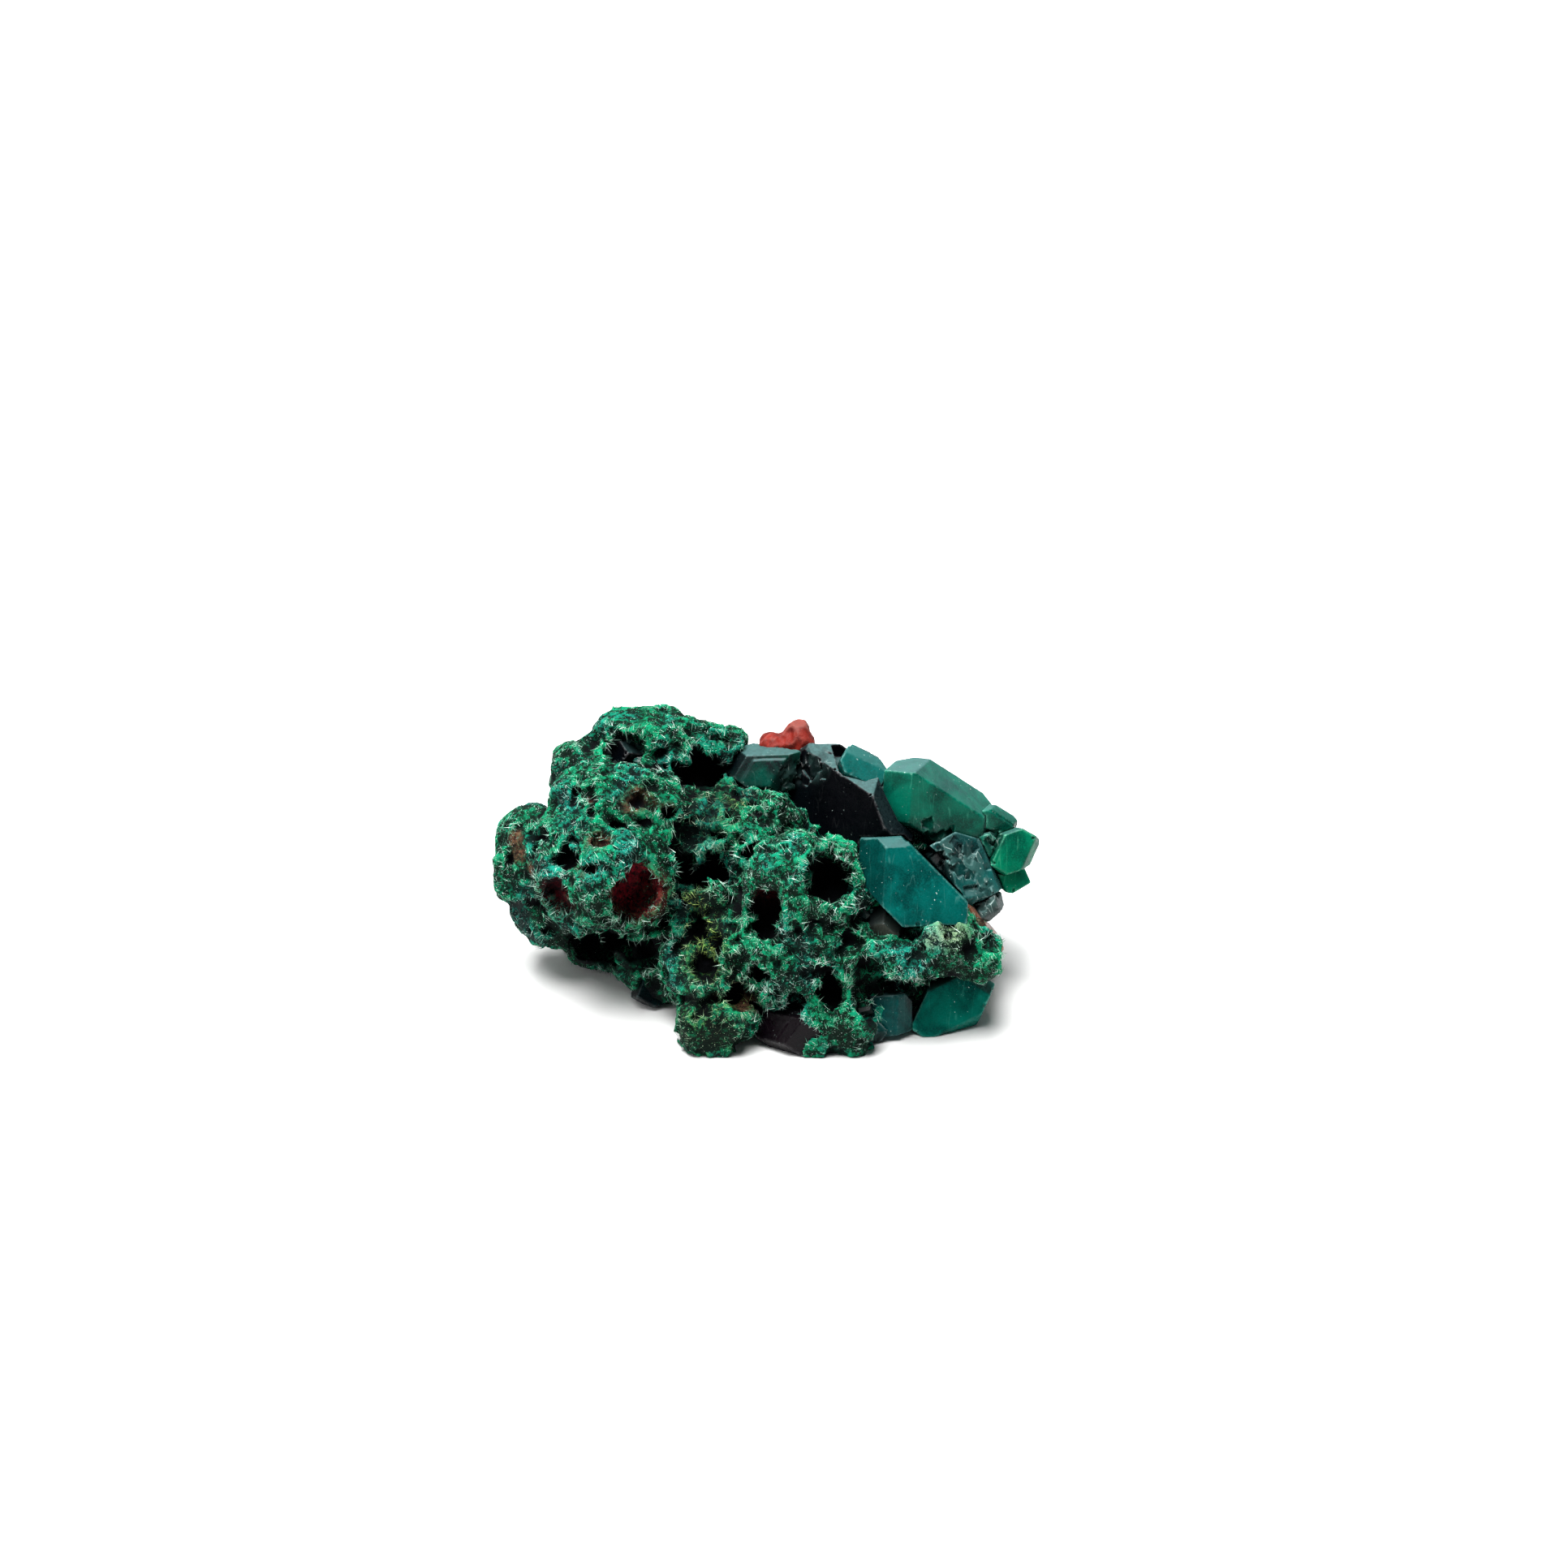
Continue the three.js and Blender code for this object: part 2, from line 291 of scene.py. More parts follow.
def points_of(piece):
    """A piece's points in millimetres."""
    points = np.zeros(len(piece.data.vertices) * 3, np.float32)
    piece.data.vertices.foreach_get("co", points)
    return points.reshape(-1, 3) / MM


def keep_within(piece, room):
    """Moves the points that stand out of the specimen's limits, and room more, back to them."""
    low = ALL_LOW - (room, room, 0)
    points = np.clip(points_of(piece), low, ALL_HIGH + room)
    piece.data.vertices.foreach_set("co", (points * MM).astype(np.float32).ravel())


def mark(piece, values):
    """Stores named numbers on a piece's points."""
    for key, numbers in values.items():
        layer = piece.data.attributes.new(key, "FLOAT", "POINT")
        layer.data.foreach_set("value", np.asarray(numbers, np.float32))


def finish_piece(piece, material, nodes=()):
    """Gives a piece its material and its body, and hides the CAD nodes it stands for."""
    if not piece.data.materials:
        piece.data.materials.append(material)
    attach(piece, ROOT)
    if nodes:
        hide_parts(*nodes)


# ---------------------------------------------------------------- shader maths
class Value:
    """A socket that carries a number. Python's operators on it add Math nodes."""

    def __init__(self, sheet, socket):
        self.sheet = sheet
        self.socket = socket

    def _math(self, operation, *others, clamp=False):
        sockets = {index: other for index, other in enumerate(others)}
        return self.sheet.node("ShaderNodeMath", {"operation": operation, "use_clamp": clamp}, sockets)

    def __add__(self, other):
        return self._math("ADD", self, other)

    __radd__ = __add__

    def __mul__(self, other):
        return self._math("MULTIPLY", self, other)

    __rmul__ = __mul__

    def __sub__(self, other):
        return self._math("SUBTRACT", self, other)

    def __rsub__(self, other):
        return self._math("SUBTRACT", other, self)

    def clamped(self):
        return self._math("MULTIPLY", self, 1.0, clamp=True)

    def apart(self):
        """How far from 0, whichever the side."""
        return self._math("ABSOLUTE", self)

    def over(self, start, end):
        """0 below start and 1 above end."""
        settings = {"interpolation_type": "SMOOTHSTEP"}
        sockets = {"Value": self, "From Min": start, "From Max": end}
        return self.sheet.node("ShaderNodeMapRange", settings, sockets)


class Sheet:
    """One material's node tree."""

    def __init__(self, name):
        self.material = bpy.data.materials.new(name)
        self.material.use_nodes = True
        self.tree = self.material.node_tree
        self.principled = next(node for node in self.tree.nodes if node.type == "BSDF_PRINCIPLED")

    def node(self, kind, settings, sockets, output=0):
        """Adds a node of a type, with its settings first and then the values or links of its sockets."""
        made = self.tree.nodes.new(kind)
        for key, setting in settings.items():
            setattr(made, key, setting)
        for key, value in sockets.items():
            self.feed(made.inputs[key], value)
        return Value(self, made.outputs[output])

    def feed(self, socket, value):
        if isinstance(value, Value):
            self.tree.links.new(value.socket, socket)
        else:
            socket.default_value = value

    def place(self):
        return self.node("ShaderNodeTexCoord", {}, {}, "Object")

    def turned(self, turn, scale):
        """Places turned and drawn out, for a pattern that follows a crystal's own grain."""
        sockets = {"Vector": self.place(), "Rotation": turn, "Scale": scale}
        return self.node("ShaderNodeMapping", {}, sockets)

    def attribute(self, name):
        return self.node("ShaderNodeAttribute", {"attribute_name": name}, {}, "Fac")

    def noise(self, size, detail=2.0, distortion=0.0, where=None, rough=0.5):
        """Clouded numbers around a half, whose lumps are about size millimetres."""
        sockets = {
            "Vector": where or self.place(),
            "Scale": 1 / (size * MM),
            "Detail": detail,
            "Roughness": rough,
            "Distortion": distortion,
        }
        return self.node("ShaderNodeTexNoise", {}, sockets, "Fac")

    def blend(self, factor, first, second, how="MIX"):
        """One colour turning into another. Colours and colour sockets both work."""
        settings = {"data_type": "RGBA", "blend_type": how, "clamp_factor": True}
        return self.node("ShaderNodeMix", settings, {0: factor, 6: first, 7: second}, 2)

    def bump(self, height, depth, strength):
        """A normal raised by height, where height 1 stands depth millimetres proud."""
        sockets = {"Height": height, "Distance": depth * MM, "Strength": strength}
        return self.node("ShaderNodeBump", {}, sockets)

    def shade(self, **sockets):
        """Sets the shader's own sockets, with underscores for the spaces in their names."""
        for key, value in sockets.items():
            self.feed(self.principled.inputs[key.replace("_", " ")], value)
        return self.material


def tint(red, green, blue):
    """A display colour, each part from 0 to 255, as the linear colour the shader takes."""
    parts = []
    for part in (red, green, blue):
        level = part / 255
        parts.append(level / 12.92 if level <= 0.04045 else ((level + 0.055) / 1.055) ** 2.4)
    return (*parts, 1.0)


# ---------------------------------------------------------------- the matrix
MATRIX_CELL = 0.2
CRYSTAL_ROOM = 0.12  # how far the matrix reaches into a crystal's foot
MATRIX_LOW, MATRIX_HIGH = box_of(["matrix"])
INWARD = np.array((0.0, 0.87, -0.5))  # the way that the front's pockets run into the rock
DIMPLES = 700
HOLES = 1500

# Every place below is given as shares of the matrix's box from its low corner, and every radius and reach
# is in millimetres.
# Open pockets: place, radius, and how far the pocket runs on into the rock as a share of its radius.
POCKETS = [
    # the knob
    (0.290, 0.25, 0.575, 2.8, 0.6),
    (0.126, 0.25, 0.515, 3.0, 0.6),
    (0.112, 0.42, 0.72, 1.0, 1.0),
    (0.156, 0.34, 0.70, 1.3, 0.8),
    (0.219, 0.31, 0.76, 1.5, 0.1),
    (0.207, 0.26, 0.68, 1.0, 0.1),
    (0.259, 0.40, 0.79, 0.9, 0.8),
    (0.306, 0.42, 0.79, 1.0, 1.0),
    (0.350, 0.47, 0.79, 1.0, 1.2),
    (0.288, 0.47, 0.86, 1.6, 0.1),
    (0.313, 0.46, 0.85, 1.1, 0.1),
    (0.067, 0.43, 0.61, 1.1, 0.2),
    # the crest and the hollow under it
    (0.259, 0.72, 0.90, 2.4, 0.3),
    (0.452, 0.79, 0.91, 0.7, 0.8),
    (0.391, 0.79, 0.92, 0.6, 0.8),
    (0.357, 0.71, 0.82, 1.7, 0.6),
    (0.395, 0.76, 0.79, 1.9, 0.6),
    (0.436, 0.76, 0.79, 1.9, 0.6),
    (0.470, 0.75, 0.80, 1.5, 0.7),
    (0.570, 0.66, 0.80, 1.1, 1.0),
    (0.600, 0.66, 0.76, 1.2, 1.0),
    # the saddle and the deep cleft between the knob and the centre
    (0.410, 0.66, 0.80, 1.0, 1.0),
    (0.478, 0.60, 0.80, 0.9, 1.0),
    (0.520, 0.53, 0.76, 1.1, 1.0),
    (0.470, 0.49, 0.74, 1.0, 1.0),
    (0.383, 0.51, 0.74, 1.0, 1.2),
    (0.447, 0.51, 0.69, 1.8, 1.4),
    (0.364, 0.43, 0.60, 2.1, 1.5),
    (0.370, 0.42, 0.53, 2.5, 1.6),
    (0.426, 0.40, 0.55, 2.2, 1.5),
    (0.372, 0.33, 0.46, 2.0, 1.6),
    (0.434, 0.37, 0.63, 2.3, 1.6),
    (0.400, 0.22, 0.43, 1.7, 1.5),
    (0.506, 0.46, 0.64, 1.6, 1.3),
    (0.416, 0.16, 0.32, 1.5, 1.3),
    (0.440, 0.15, 0.41, 1.4, 1.3),
    (0.377, 0.17, 0.38, 1.4, 1.3),
    # the centre lobe and its foot
    (0.656, 0.24, 0.66, 2.6, 0.9),
    (0.630, 0.24, 0.61, 1.5, 1.2),
    (0.549, 0.18, 0.57, 1.9, 1.0),
    (0.537, 0.17, 0.47, 1.4, 1.0),
    (0.693, 0.16, 0.46, 0.7, 1.0),
    (0.659, 0.10, 0.25, 1.6, 1.2),
    (0.654, 0.08, 0.34, 1.1, 1.2),
    (0.598, 0.08, 0.21, 1.1, 1.0),
    (0.524, 0.12, 0.31, 1.4, 1.2),
    (0.546, 0.08, 0.25, 0.9, 1.0),
    (0.473, 0.13, 0.21, 1.6, 0.8),
    (0.508, 0.14, 0.14, 1.2, 0.8),
    # the shadowed flank under the knob
    (0.178, 0.44, 0.22, 2.0, 1.0),
    (0.215, 0.46, 0.20, 2.2, 1.3),
    (0.248, 0.46, 0.19, 2.4, 1.3),
    (0.302, 0.36, 0.25, 2.2, 1.3),
    (0.192, 0.27, 0.37, 1.7, 1.0),
    (0.222, 0.29, 0.34, 1.9, 1.0),
    (0.252, 0.30, 0.33, 2.0, 1.0),
    (0.280, 0.34, 0.29, 2.0, 1.0),
    # the shadow gap under the finger and beside its crystals
    (0.731, 0.11, 0.33, 1.4, 1.2),
    (0.752, 0.11, 0.30, 1.3, 1.2),
    (0.776, 0.12, 0.28, 1.2, 1.2),
    (0.800, 0.12, 0.27, 1.2, 1.2),
    (0.825, 0.11, 0.26, 1.2, 1.2),
    (0.896, 0.12, 0.29, 1.0, 1.2),
    (0.735, 0.10, 0.24, 1.3, 1.2),
    (0.735, 0.07, 0.17, 1.1, 1.2),
    (0.760, 0.09, 0.22, 1.3, 0.8),
    (0.762, 0.07, 0.15, 1.3, 0.6),
    (0.766, 0.05, 0.08, 1.3, 0.4),
    (0.766, 0.04, 0.02, 1.2, 0.4),
]
KNOB = (0.2, 0.5, 0.66)  # the middle of the smoother knob
# Zones where small holes crowd together: place, and reach as a share of the box's length.
SPONGE = [
    (0.48, 0.55, 0.79, 0.07),
    (0.42, 0.38, 0.45, 0.13),
    (0.46, 0.14, 0.28, 0.10),
    (0.55, 0.14, 0.44, 0.09),
    (0.45, 0.55, 0.72, 0.10),
]
# The zones below are each a place, a reach, and a strength that is 1 where it isn't stated.
# Painted shade where shadow falls: the felt thins out there, and the rock, its needles and the crystals
# near it are darkened.
PAINTED_SHADE = [
    # under the knob
    (0.178, 0.47, 0.16, 3.6),
    (0.218, 0.50, 0.17, 4.2),
    (0.246, 0.47, 0.18, 4.4),
    (0.278, 0.39, 0.24, 3.6),
    (0.192, 0.29, 0.37, 2.0),
    (0.222, 0.30, 0.34, 2.2),
    (0.252, 0.31, 0.32, 2.4),
    (0.280, 0.35, 0.28, 2.4),
    # the cleft
    (0.371, 0.45, 0.57, 2.8),
    (0.382, 0.43, 0.52, 2.8),
    (0.426, 0.41, 0.55, 2.6),
    (0.447, 0.51, 0.69, 2.0),
    # the mossy sponge, the saddle and the foot, half shaded
    (0.361, 0.26, 0.41, 3.0, 0.35),
    (0.383, 0.32, 0.46, 3.0, 0.35),
    (0.400, 0.20, 0.34, 3.2, 0.35),
    (0.430, 0.18, 0.30, 3.0, 0.35),
    (0.453, 0.60, 0.80, 5.0, 0.42),
    (0.422, 0.50, 0.71, 4.5, 0.42),
    (0.430, 0.06, 0.12, 4.0, 0.3),
    # under the crest
    (0.357, 0.72, 0.83, 2.2),
    (0.395, 0.80, 0.79, 2.6),
    (0.436, 0.80, 0.79, 2.6),
    (0.476, 0.78, 0.80, 2.4),
    (0.575, 0.66, 0.80, 1.7),
    (0.605, 0.66, 0.76, 1.8),
    # under the finger and round its crystals
    (0.733, 0.11, 0.32, 1.9),
    (0.760, 0.12, 0.28, 1.7),
    (0.792, 0.13, 0.26, 1.7),
    (0.823, 0.12, 0.25, 1.7),
    (0.860, 0.13, 0.26, 1.4),
    (0.901, 0.14, 0.27, 1.4),
    (0.729, 0.12, 0.26, 1.7),
    (0.731, 0.08, 0.20, 1.7),
    (0.736, 0.05, 0.13, 1.7),
    (0.757, 0.17, 0.21, 1.8),
    (0.790, 0.19, 0.18, 1.7),
    (0.820, 0.20, 0.14, 1.8),
    (0.836, 0.22, 0.06, 1.8),
    (0.309, 0.32, 0.06, 2.4),
]
# Rust stains on bare rock.
RUST = [
    (0.293, 0.30, 0.55, 3.8, 1.0),
    (0.219, 0.32, 0.76, 2.4, 0.9),
    (0.205, 0.27, 0.66, 2.3, 1.0),
    (0.288, 0.47, 0.86, 2.6, 1.0),
    (0.313, 0.46, 0.85, 1.8, 0.8),
    (0.350, 0.47, 0.81, 1.6, 0.6),
    (0.549, 0.22, 0.56, 2.2, 0.9),
    (0.473, 0.14, 0.20, 2.6, 1.0),
    (0.500, 0.12, 0.16, 2.0, 0.8),
    (0.960, 0.34, 0.36, 3.0, 1.0),
    (0.049, 0.54, 0.63, 1.6, 0.9),
    (0.057, 0.49, 0.59, 1.7, 0.9),
    (0.067, 0.42, 0.57, 1.7, 0.9),
    (0.196, 0.49, 0.84, 0.7, 1.0),
    (0.135, 0.33, 0.50, 2.2, 0.6),
    (0.230, 0.72, 0.97, 1.4, 0.8),
]
# Wine-red rock in the floor of pockets.
WINE = [
    (0.290, 0.31, 0.55, 4.2, 1.0),
    (0.126, 0.35, 0.49, 3.6, 0.4),
    (0.549, 0.24, 0.56, 3.0, 0.45),
]
# Cream patches of felt.
CREAM = [
    (0.894, 0.16, 0.46, 2.6),
    (0.860, 0.14, 0.45, 1.4),
]
# Crystals that are broken up.
BROKEN = [
    (0.640, 0.70, 0.86, 2.2, 0.7),
    (0.585, 0.71, 0.80, 1.8, 0.9),
    (0.890, 0.48, 0.60, 3.0, 1.0),
    (0.940, 0.48, 0.56, 2.6, 1.0),
    (0.980, 0.58, 0.60, 1.8, 0.7),
    (0.970, 0.42, 0.45, 2.4, 1.0),
    (0.860, 0.55, 0.68, 1.8, 0.8),
]
# Felt with a yellow cast, whose zones also darken the felt as painted shade.
MOSSY_AND_SHADED = [
    (0.409, 0.26, 0.47, 3.6, 1.0),
    (0.392, 0.31, 0.49, 3.2, 1.0),
    (0.424, 0.19, 0.42, 4.0, 1.0),
    (0.43, 0.18, 0.30, 4.0, 1.0),
    (0.47, 0.14, 0.18, 4.0, 1.0),
    (0.43, 0.06, 0.14, 5.0, 0.6),
    (0.453, 0.60, 0.80, 5.0, 0.4),
    (0.422, 0.50, 0.71, 5.0, 0.4),
    (0.478, 0.56, 0.80, 2.6, 0.8),
]


def in_matrix(shares):
    """A place given as shares of the matrix's box, in millimetres."""
    return MATRIX_LOW + np.array(shares[:3]) * (MATRIX_HIGH - MATRIX_LOW)


def matrix_field(space, crystals):
    """The matrix with its weathered lumps and ridges, from the CAD solid."""
    solid = softened(distance_to(["matrix"], space, 3.4), 9)
    field = bent(solid, space, ((0.8, 4.6, 11), (0.35, 1.7, 21)))
    # Sharp-crested ridges in a net, with finer ones on them.
    field += 0.75 * np.abs(swell(space, 2.8, 31)) + 0.4 * np.abs(swell(space, 1.3, 32)) - 0.75
    # The felt creeps up on the crystals' feet.
    field -= (0.42 + 0.22 * swell(space, 1.1, 34)) * (1 - ramp(crystals, 0.25, 1.5))
    return field


def strewn_places(field, space, count, seed):
    """Random places on a field's surface, the way out at each, and the source of chance."""
    points, _ = surface(field, space)
    rng = np.random.default_rng(seed)
    places = points[rng.choice(len(points), count, replace=False)]
    return places, way_out(field, space, places), rng


def make_matrix():
    """The weathered rock as a field, in its space, with how far each place is from the crystals."""
    space = Space(MATRIX_LOW, MATRIX_HIGH, MATRIX_CELL, 1.3)
    crystals = distance_to(CRYSTALS + ["cuprite_grain"], space, 3.0)
    field = matrix_field(space, crystals)
    # Shallow dimples meet in ridges, pockets go deep, and small holes crowd in the sponge.
    places, outward, rng = strewn_places(field, space, DIMPLES, 40)
    knob = in_matrix(KNOB)
    for place, out in zip(places, outward):
        smooth = float(ramp(np.linalg.norm(place - knob), 8.5, 6.0))
        if rng.random() < 0.65 * smooth:
            continue
        size = rng.uniform(0.6, 1.7)
        centre = place + (0.6 + 0.15 * smooth) * size * out
        scoop(field, space, centre, size * rng.uniform(0.75, 1.3, 3), 0.08)
    ragged = 0.6 * swell(space, 2.2, 36) + 0.35 * swell(space, 1.0, 37)
    for pocket in POCKETS:
        radius, depth = pocket[3:]
        mouth = in_matrix(pocket)
        scoop(field, space, mouth, radius * rng.uniform(0.8, 1.1, 3), 0.15, ragged)
        inner = mouth + depth * radius * INWARD
        scoop(field, space, inner, radius * rng.uniform(0.8, 1.05, 3), 0.2, ragged)
        for _ in range(3):
            aside = rng.normal(0, 0.4, 3) * radius
            scoop(field, space, mouth + aside, radius * rng.uniform(0.35, 0.65, 3), 0.1)
    places, _, rng = strewn_places(field, space, HOLES, 41)
    length = (MATRIX_HIGH - MATRIX_LOW)[0]
    for place in places:
        away = [np.linalg.norm(place - in_matrix(zone)) / (zone[3] * length) for zone in SPONGE]
        if rng.random() > 0.22 + 0.7 * ramp(min(away), 1.2, 0.5):
            continue
        size = rng.uniform(0.28, 0.6) * (1 + 1.0 * rng.random() ** 3)
        scoop(field, space, place, size * rng.uniform(0.7, 1.4, 3), 0.15)
    # Matted lumps and fine ropes.
    field += 0.42 * np.abs(swell(space, 0.9, 33)) + 0.3 * np.abs(swell(space, 0.5, 35)) - 0.26
    field = np.maximum(field, -(crystals + CRYSTAL_ROOM))
    # Keep inside the CAD solid's box, with room for the felt, and stand flat on the surface below.
    room = 0.08 + 0.16 * (1 + swell(space, 1.4, 38))
    for axis, line in enumerate(space.coordinates()):
        below = 0 if axis == 2 else room
        outside = np.maximum(MATRIX_LOW[axis] + below - line, line - MATRIX_HIGH[axis] + room)
        field = np.maximum(field, outside)
    return space, field, crystals


def nearness(points, zones):
    """A zone's strength in its middle, which is 1 unless it says otherwise, and 0 from its reach on."""
    near = np.zeros(len(points))
    for zone in zones:
        away = np.linalg.norm(points - in_matrix(zone), axis=1)
        strength = zone[4] if len(zone) > 4 else 1.0
        near = np.maximum(near, strength * ramp(away, zone[3], 0.25 * zone[3]))
    return near


def matrix_values(points, space, field, crystals):
    """Painted shade in hollows, pits and shadow zones, and how crested, stained, mossy and felted the
    rock is, at each point.
    """
    hollow = fullness(field, space, points, 50)
    sunk = space.read(spread_out((field < 0).astype(np.float32)), points)
    near = fullness(field, space, points, 9)
    # Painted shade: deep hollows, sunk places and the shadow zones.
    shade = ramp(hollow, 0.48, 0.76) + ramp(sunk, 0.46, 0.7) + 0.85 * nearness(points, PAINTED_SHADE)
    shade = np.clip(shade, 0, 1)
    stain = nearness(points, RUST)
    wine = nearness(points, WINE)
    clear_of_crystals = ramp(space.read(crystals, points), 0.0, 0.15)
    clear_of_floor = ramp(points[:, 2], MATRIX_LOW[2] + 0.5, MATRIX_LOW[2] + 1.1)
    # The felt thins out where the painted shade lies, leaving dark bare rock.
    green = (1 - 0.97 * shade) * (1 - 0.8 * stain) * (1 - wine)
    return {
        "hollow": shade,
        "crest": np.clip((0.5 - near) * 5.0, 0, 1),
        "stain": stain,
        "pit": np.clip((near - 0.48) * 6.0, 0, 1),
        "wine": wine,
        "moss": nearness(points, MOSSY_AND_SHADED),
        "cream": nearness(points, CREAM),
        "upward": way_out(softened(field, 4), space, points)[:, 2],
        "felted": green * clear_of_crystals * clear_of_floor,
    }


def thinned(piece, limit):
    """Takes triangles out of a piece where they tell least, down to a limit."""
    count = sum(len(polygon.vertices) - 2 for polygon in piece.data.polygons)
    if count > limit:
        modifier = piece.modifiers.new("thin", "DECIMATE")
        modifier.ratio = limit / count
        graph = bpy.context.evaluated_depsgraph_get()
        mesh = bpy.data.meshes.new_from_object(piece.evaluated_get(graph))
        piece.modifiers.remove(modifier)
        piece.data = mesh
        mesh.shade_smooth()
    return piece


def felt_green(sheet, pale):
    """The felt's green in a mottle of light and dark clumps, bluer in places, made paler on tops and
    crests as painted light and darker in pits and mossy zones as painted shade. Pale runs from 0 to 1.
    """
    blue = sheet.noise(4.5, 2).over(0.44, 0.7)
    clump = sheet.noise(0.6, 5, 0.8, rough=0.65).over(0.38, 0.64)
    field = sheet.noise(3.0, 3, 0.5).over(0.3, 0.7)
    # Painted light: the felt is paler on upward faces and on crests.
    painted_light = 0.3 * sheet.attribute("upward") + 0.75 * sheet.attribute("crest")
    moss = sheet.attribute("moss")
    # Painted shade: the felt is darker in the mossy zones.
    amount = (pale * 0.9 + clump + 0.5 * field - 1.24 + painted_light - 0.18 * moss).clamped()
    dark = sheet.blend(blue, tint(0, 24, 13), tint(0, 26, 24))
    light = sheet.blend(blue, tint(0, 150, 102), tint(18, 152, 130))
    green = sheet.blend(amount, dark, light)
    speck = sheet.noise(0.4, 4, 0.5, rough=0.7).over(0.46, 0.62)
    yellow = sheet.noise(1.3, 3).over(0.42, 0.6)
    mossy = sheet.blend(yellow, tint(40, 146, 80), tint(146, 190, 84))
    mossy = sheet.blend(speck * amount, tint(1, 8, 3), mossy)
    green = sheet.blend(moss * 0.9, green, mossy)
    # Painted shade: the felt darkens to near-black in pits.
    green = sheet.blend(sheet.attribute("pit") * 0.75, green, tint(0, 6, 6))
    return sheet.blend(sheet.attribute("cream") * amount * 0.8, green, tint(176, 190, 150))


def matrix_material():
    sheet = Sheet("weathered malachite")
    cloud = sheet.noise(2.4, 4).over(0.3, 0.7)
    grain = sheet.noise(0.35, 5, 0.6, rough=0.7)
    streaks = sheet.noise(0.16, 3, 2.5)
    hollow = sheet.attribute("hollow")
    stain = sheet.attribute("stain")
    green = felt_green(sheet, 0.1 + 0.5 * grain.over(0.4, 0.7))
    # Painted shade: the felt's green darkens to near-black in hollows and shadow.
    green = sheet.blend(hollow.over(0.0, 0.8), green, tint(1, 3, 6))
    brown = sheet.blend(grain.over(0.4, 0.65), tint(30, 12, 8), tint(104, 76, 56))
    # Painted shade: the rust darkens towards maroon in hollows and shadow.
    brown = sheet.blend(hollow.over(0.3, 1.0), brown, tint(44, 14, 14))
    color = sheet.blend((stain * 1.2 - 0.45 + 0.9 * cloud * stain).clamped(), green, brown)
    red = sheet.blend(grain.over(0.38, 0.66), tint(26, 2, 8), tint(128, 10, 30))
    color = sheet.blend(sheet.attribute("wine").over(0.0, 0.7) * (0.6 + 0.4 * cloud), color, red)
    rough = 0.8 - 0.12 * streaks
    relief = sheet.bump(grain * 0.6 + streaks * 0.4, 0.25, 0.9)
    return sheet.shade(Base_Color=color, Roughness=rough, Normal=relief, Specular_IOR_Level=0.1)


# ---------------------------------------------------------------- the felt of malachite needles
NEEDLES = 58000  # in each layer, before bare rock takes its share
FELT_ROOM = 0.3  # how far the felt may stand past the specimen's limits
# Each layer's needles, with their length and thickness in millimetres.
FELTS = {
    "felt_low": dict(Length=0.78, Thickness=0.040, Rise=0.16, Stray=0.6, Dark=0.0, Pale=0.75, Seed=1),
    "felt_middle": dict(Length=0.88, Thickness=0.042, Rise=0.3, Stray=0.8, Dark=0.1, Pale=0.95, Seed=2),
    "felt_high": dict(Length=1.1, Thickness=0.039, Rise=0.45, Stray=0.9, Dark=0.4, Pale=1.0, Seed=3),
}


class Tree:
    """A Geometry Nodes tree that is run once on a mesh."""

    def __init__(self, name):
        self.tree = bpy.data.node_groups.new(name, "GeometryNodeTree")
        self.tree.interface.new_socket("Geometry", in_out="INPUT", socket_type="NodeSocketGeometry")
        self.tree.interface.new_socket("Geometry", in_out="OUTPUT", socket_type="NodeSocketGeometry")
        self.start = self.tree.nodes.new("NodeGroupInput")
        self.end = self.tree.nodes.new("NodeGroupOutput")
        self.settings = {}

    def size(self, name, kind="NodeSocketFloat"):
        """A named input of the tree."""
        socket = self.tree.interface.new_socket(name, in_out="INPUT", socket_type=kind)
        self.settings[name] = socket.identifier
        return self.start.outputs[name]

    def vector(self, operation, sockets, output=0):
        """A Vector Math node."""
        return self.node("ShaderNodeVectorMath", {"operation": operation}, sockets, output)

    def node(self, kind, settings, sockets, output=0):
        """Adds a node of a type, with its settings first and then the values or links of its sockets."""
        made = self.tree.nodes.new(kind)
        for key, setting in settings.items():
            setattr(made, key, setting)
        for key, value in sockets.items():
            if isinstance(value, bpy.types.NodeSocket):
                self.tree.links.new(value, made.inputs[key])
            else:
                made.inputs[key].default_value = value
        return made.outputs[output]

    def run(self, piece, name, **sizes):
        """The tree's result on a piece as a plain mesh object."""
        modifier = piece.modifiers.new(name, "NODES")
        modifier.node_group = self.tree
        for key, value in sizes.items():
            modifier[self.settings[key]] = value
        graph = bpy.context.evaluated_depsgraph_get()
        mesh = bpy.data.meshes.new_from_object(piece.evaluated_get(graph))
        piece.modifiers.remove(modifier)
        made = bpy.data.objects.new(name, mesh)
        bpy.context.scene.collection.objects.link(made)
        return made


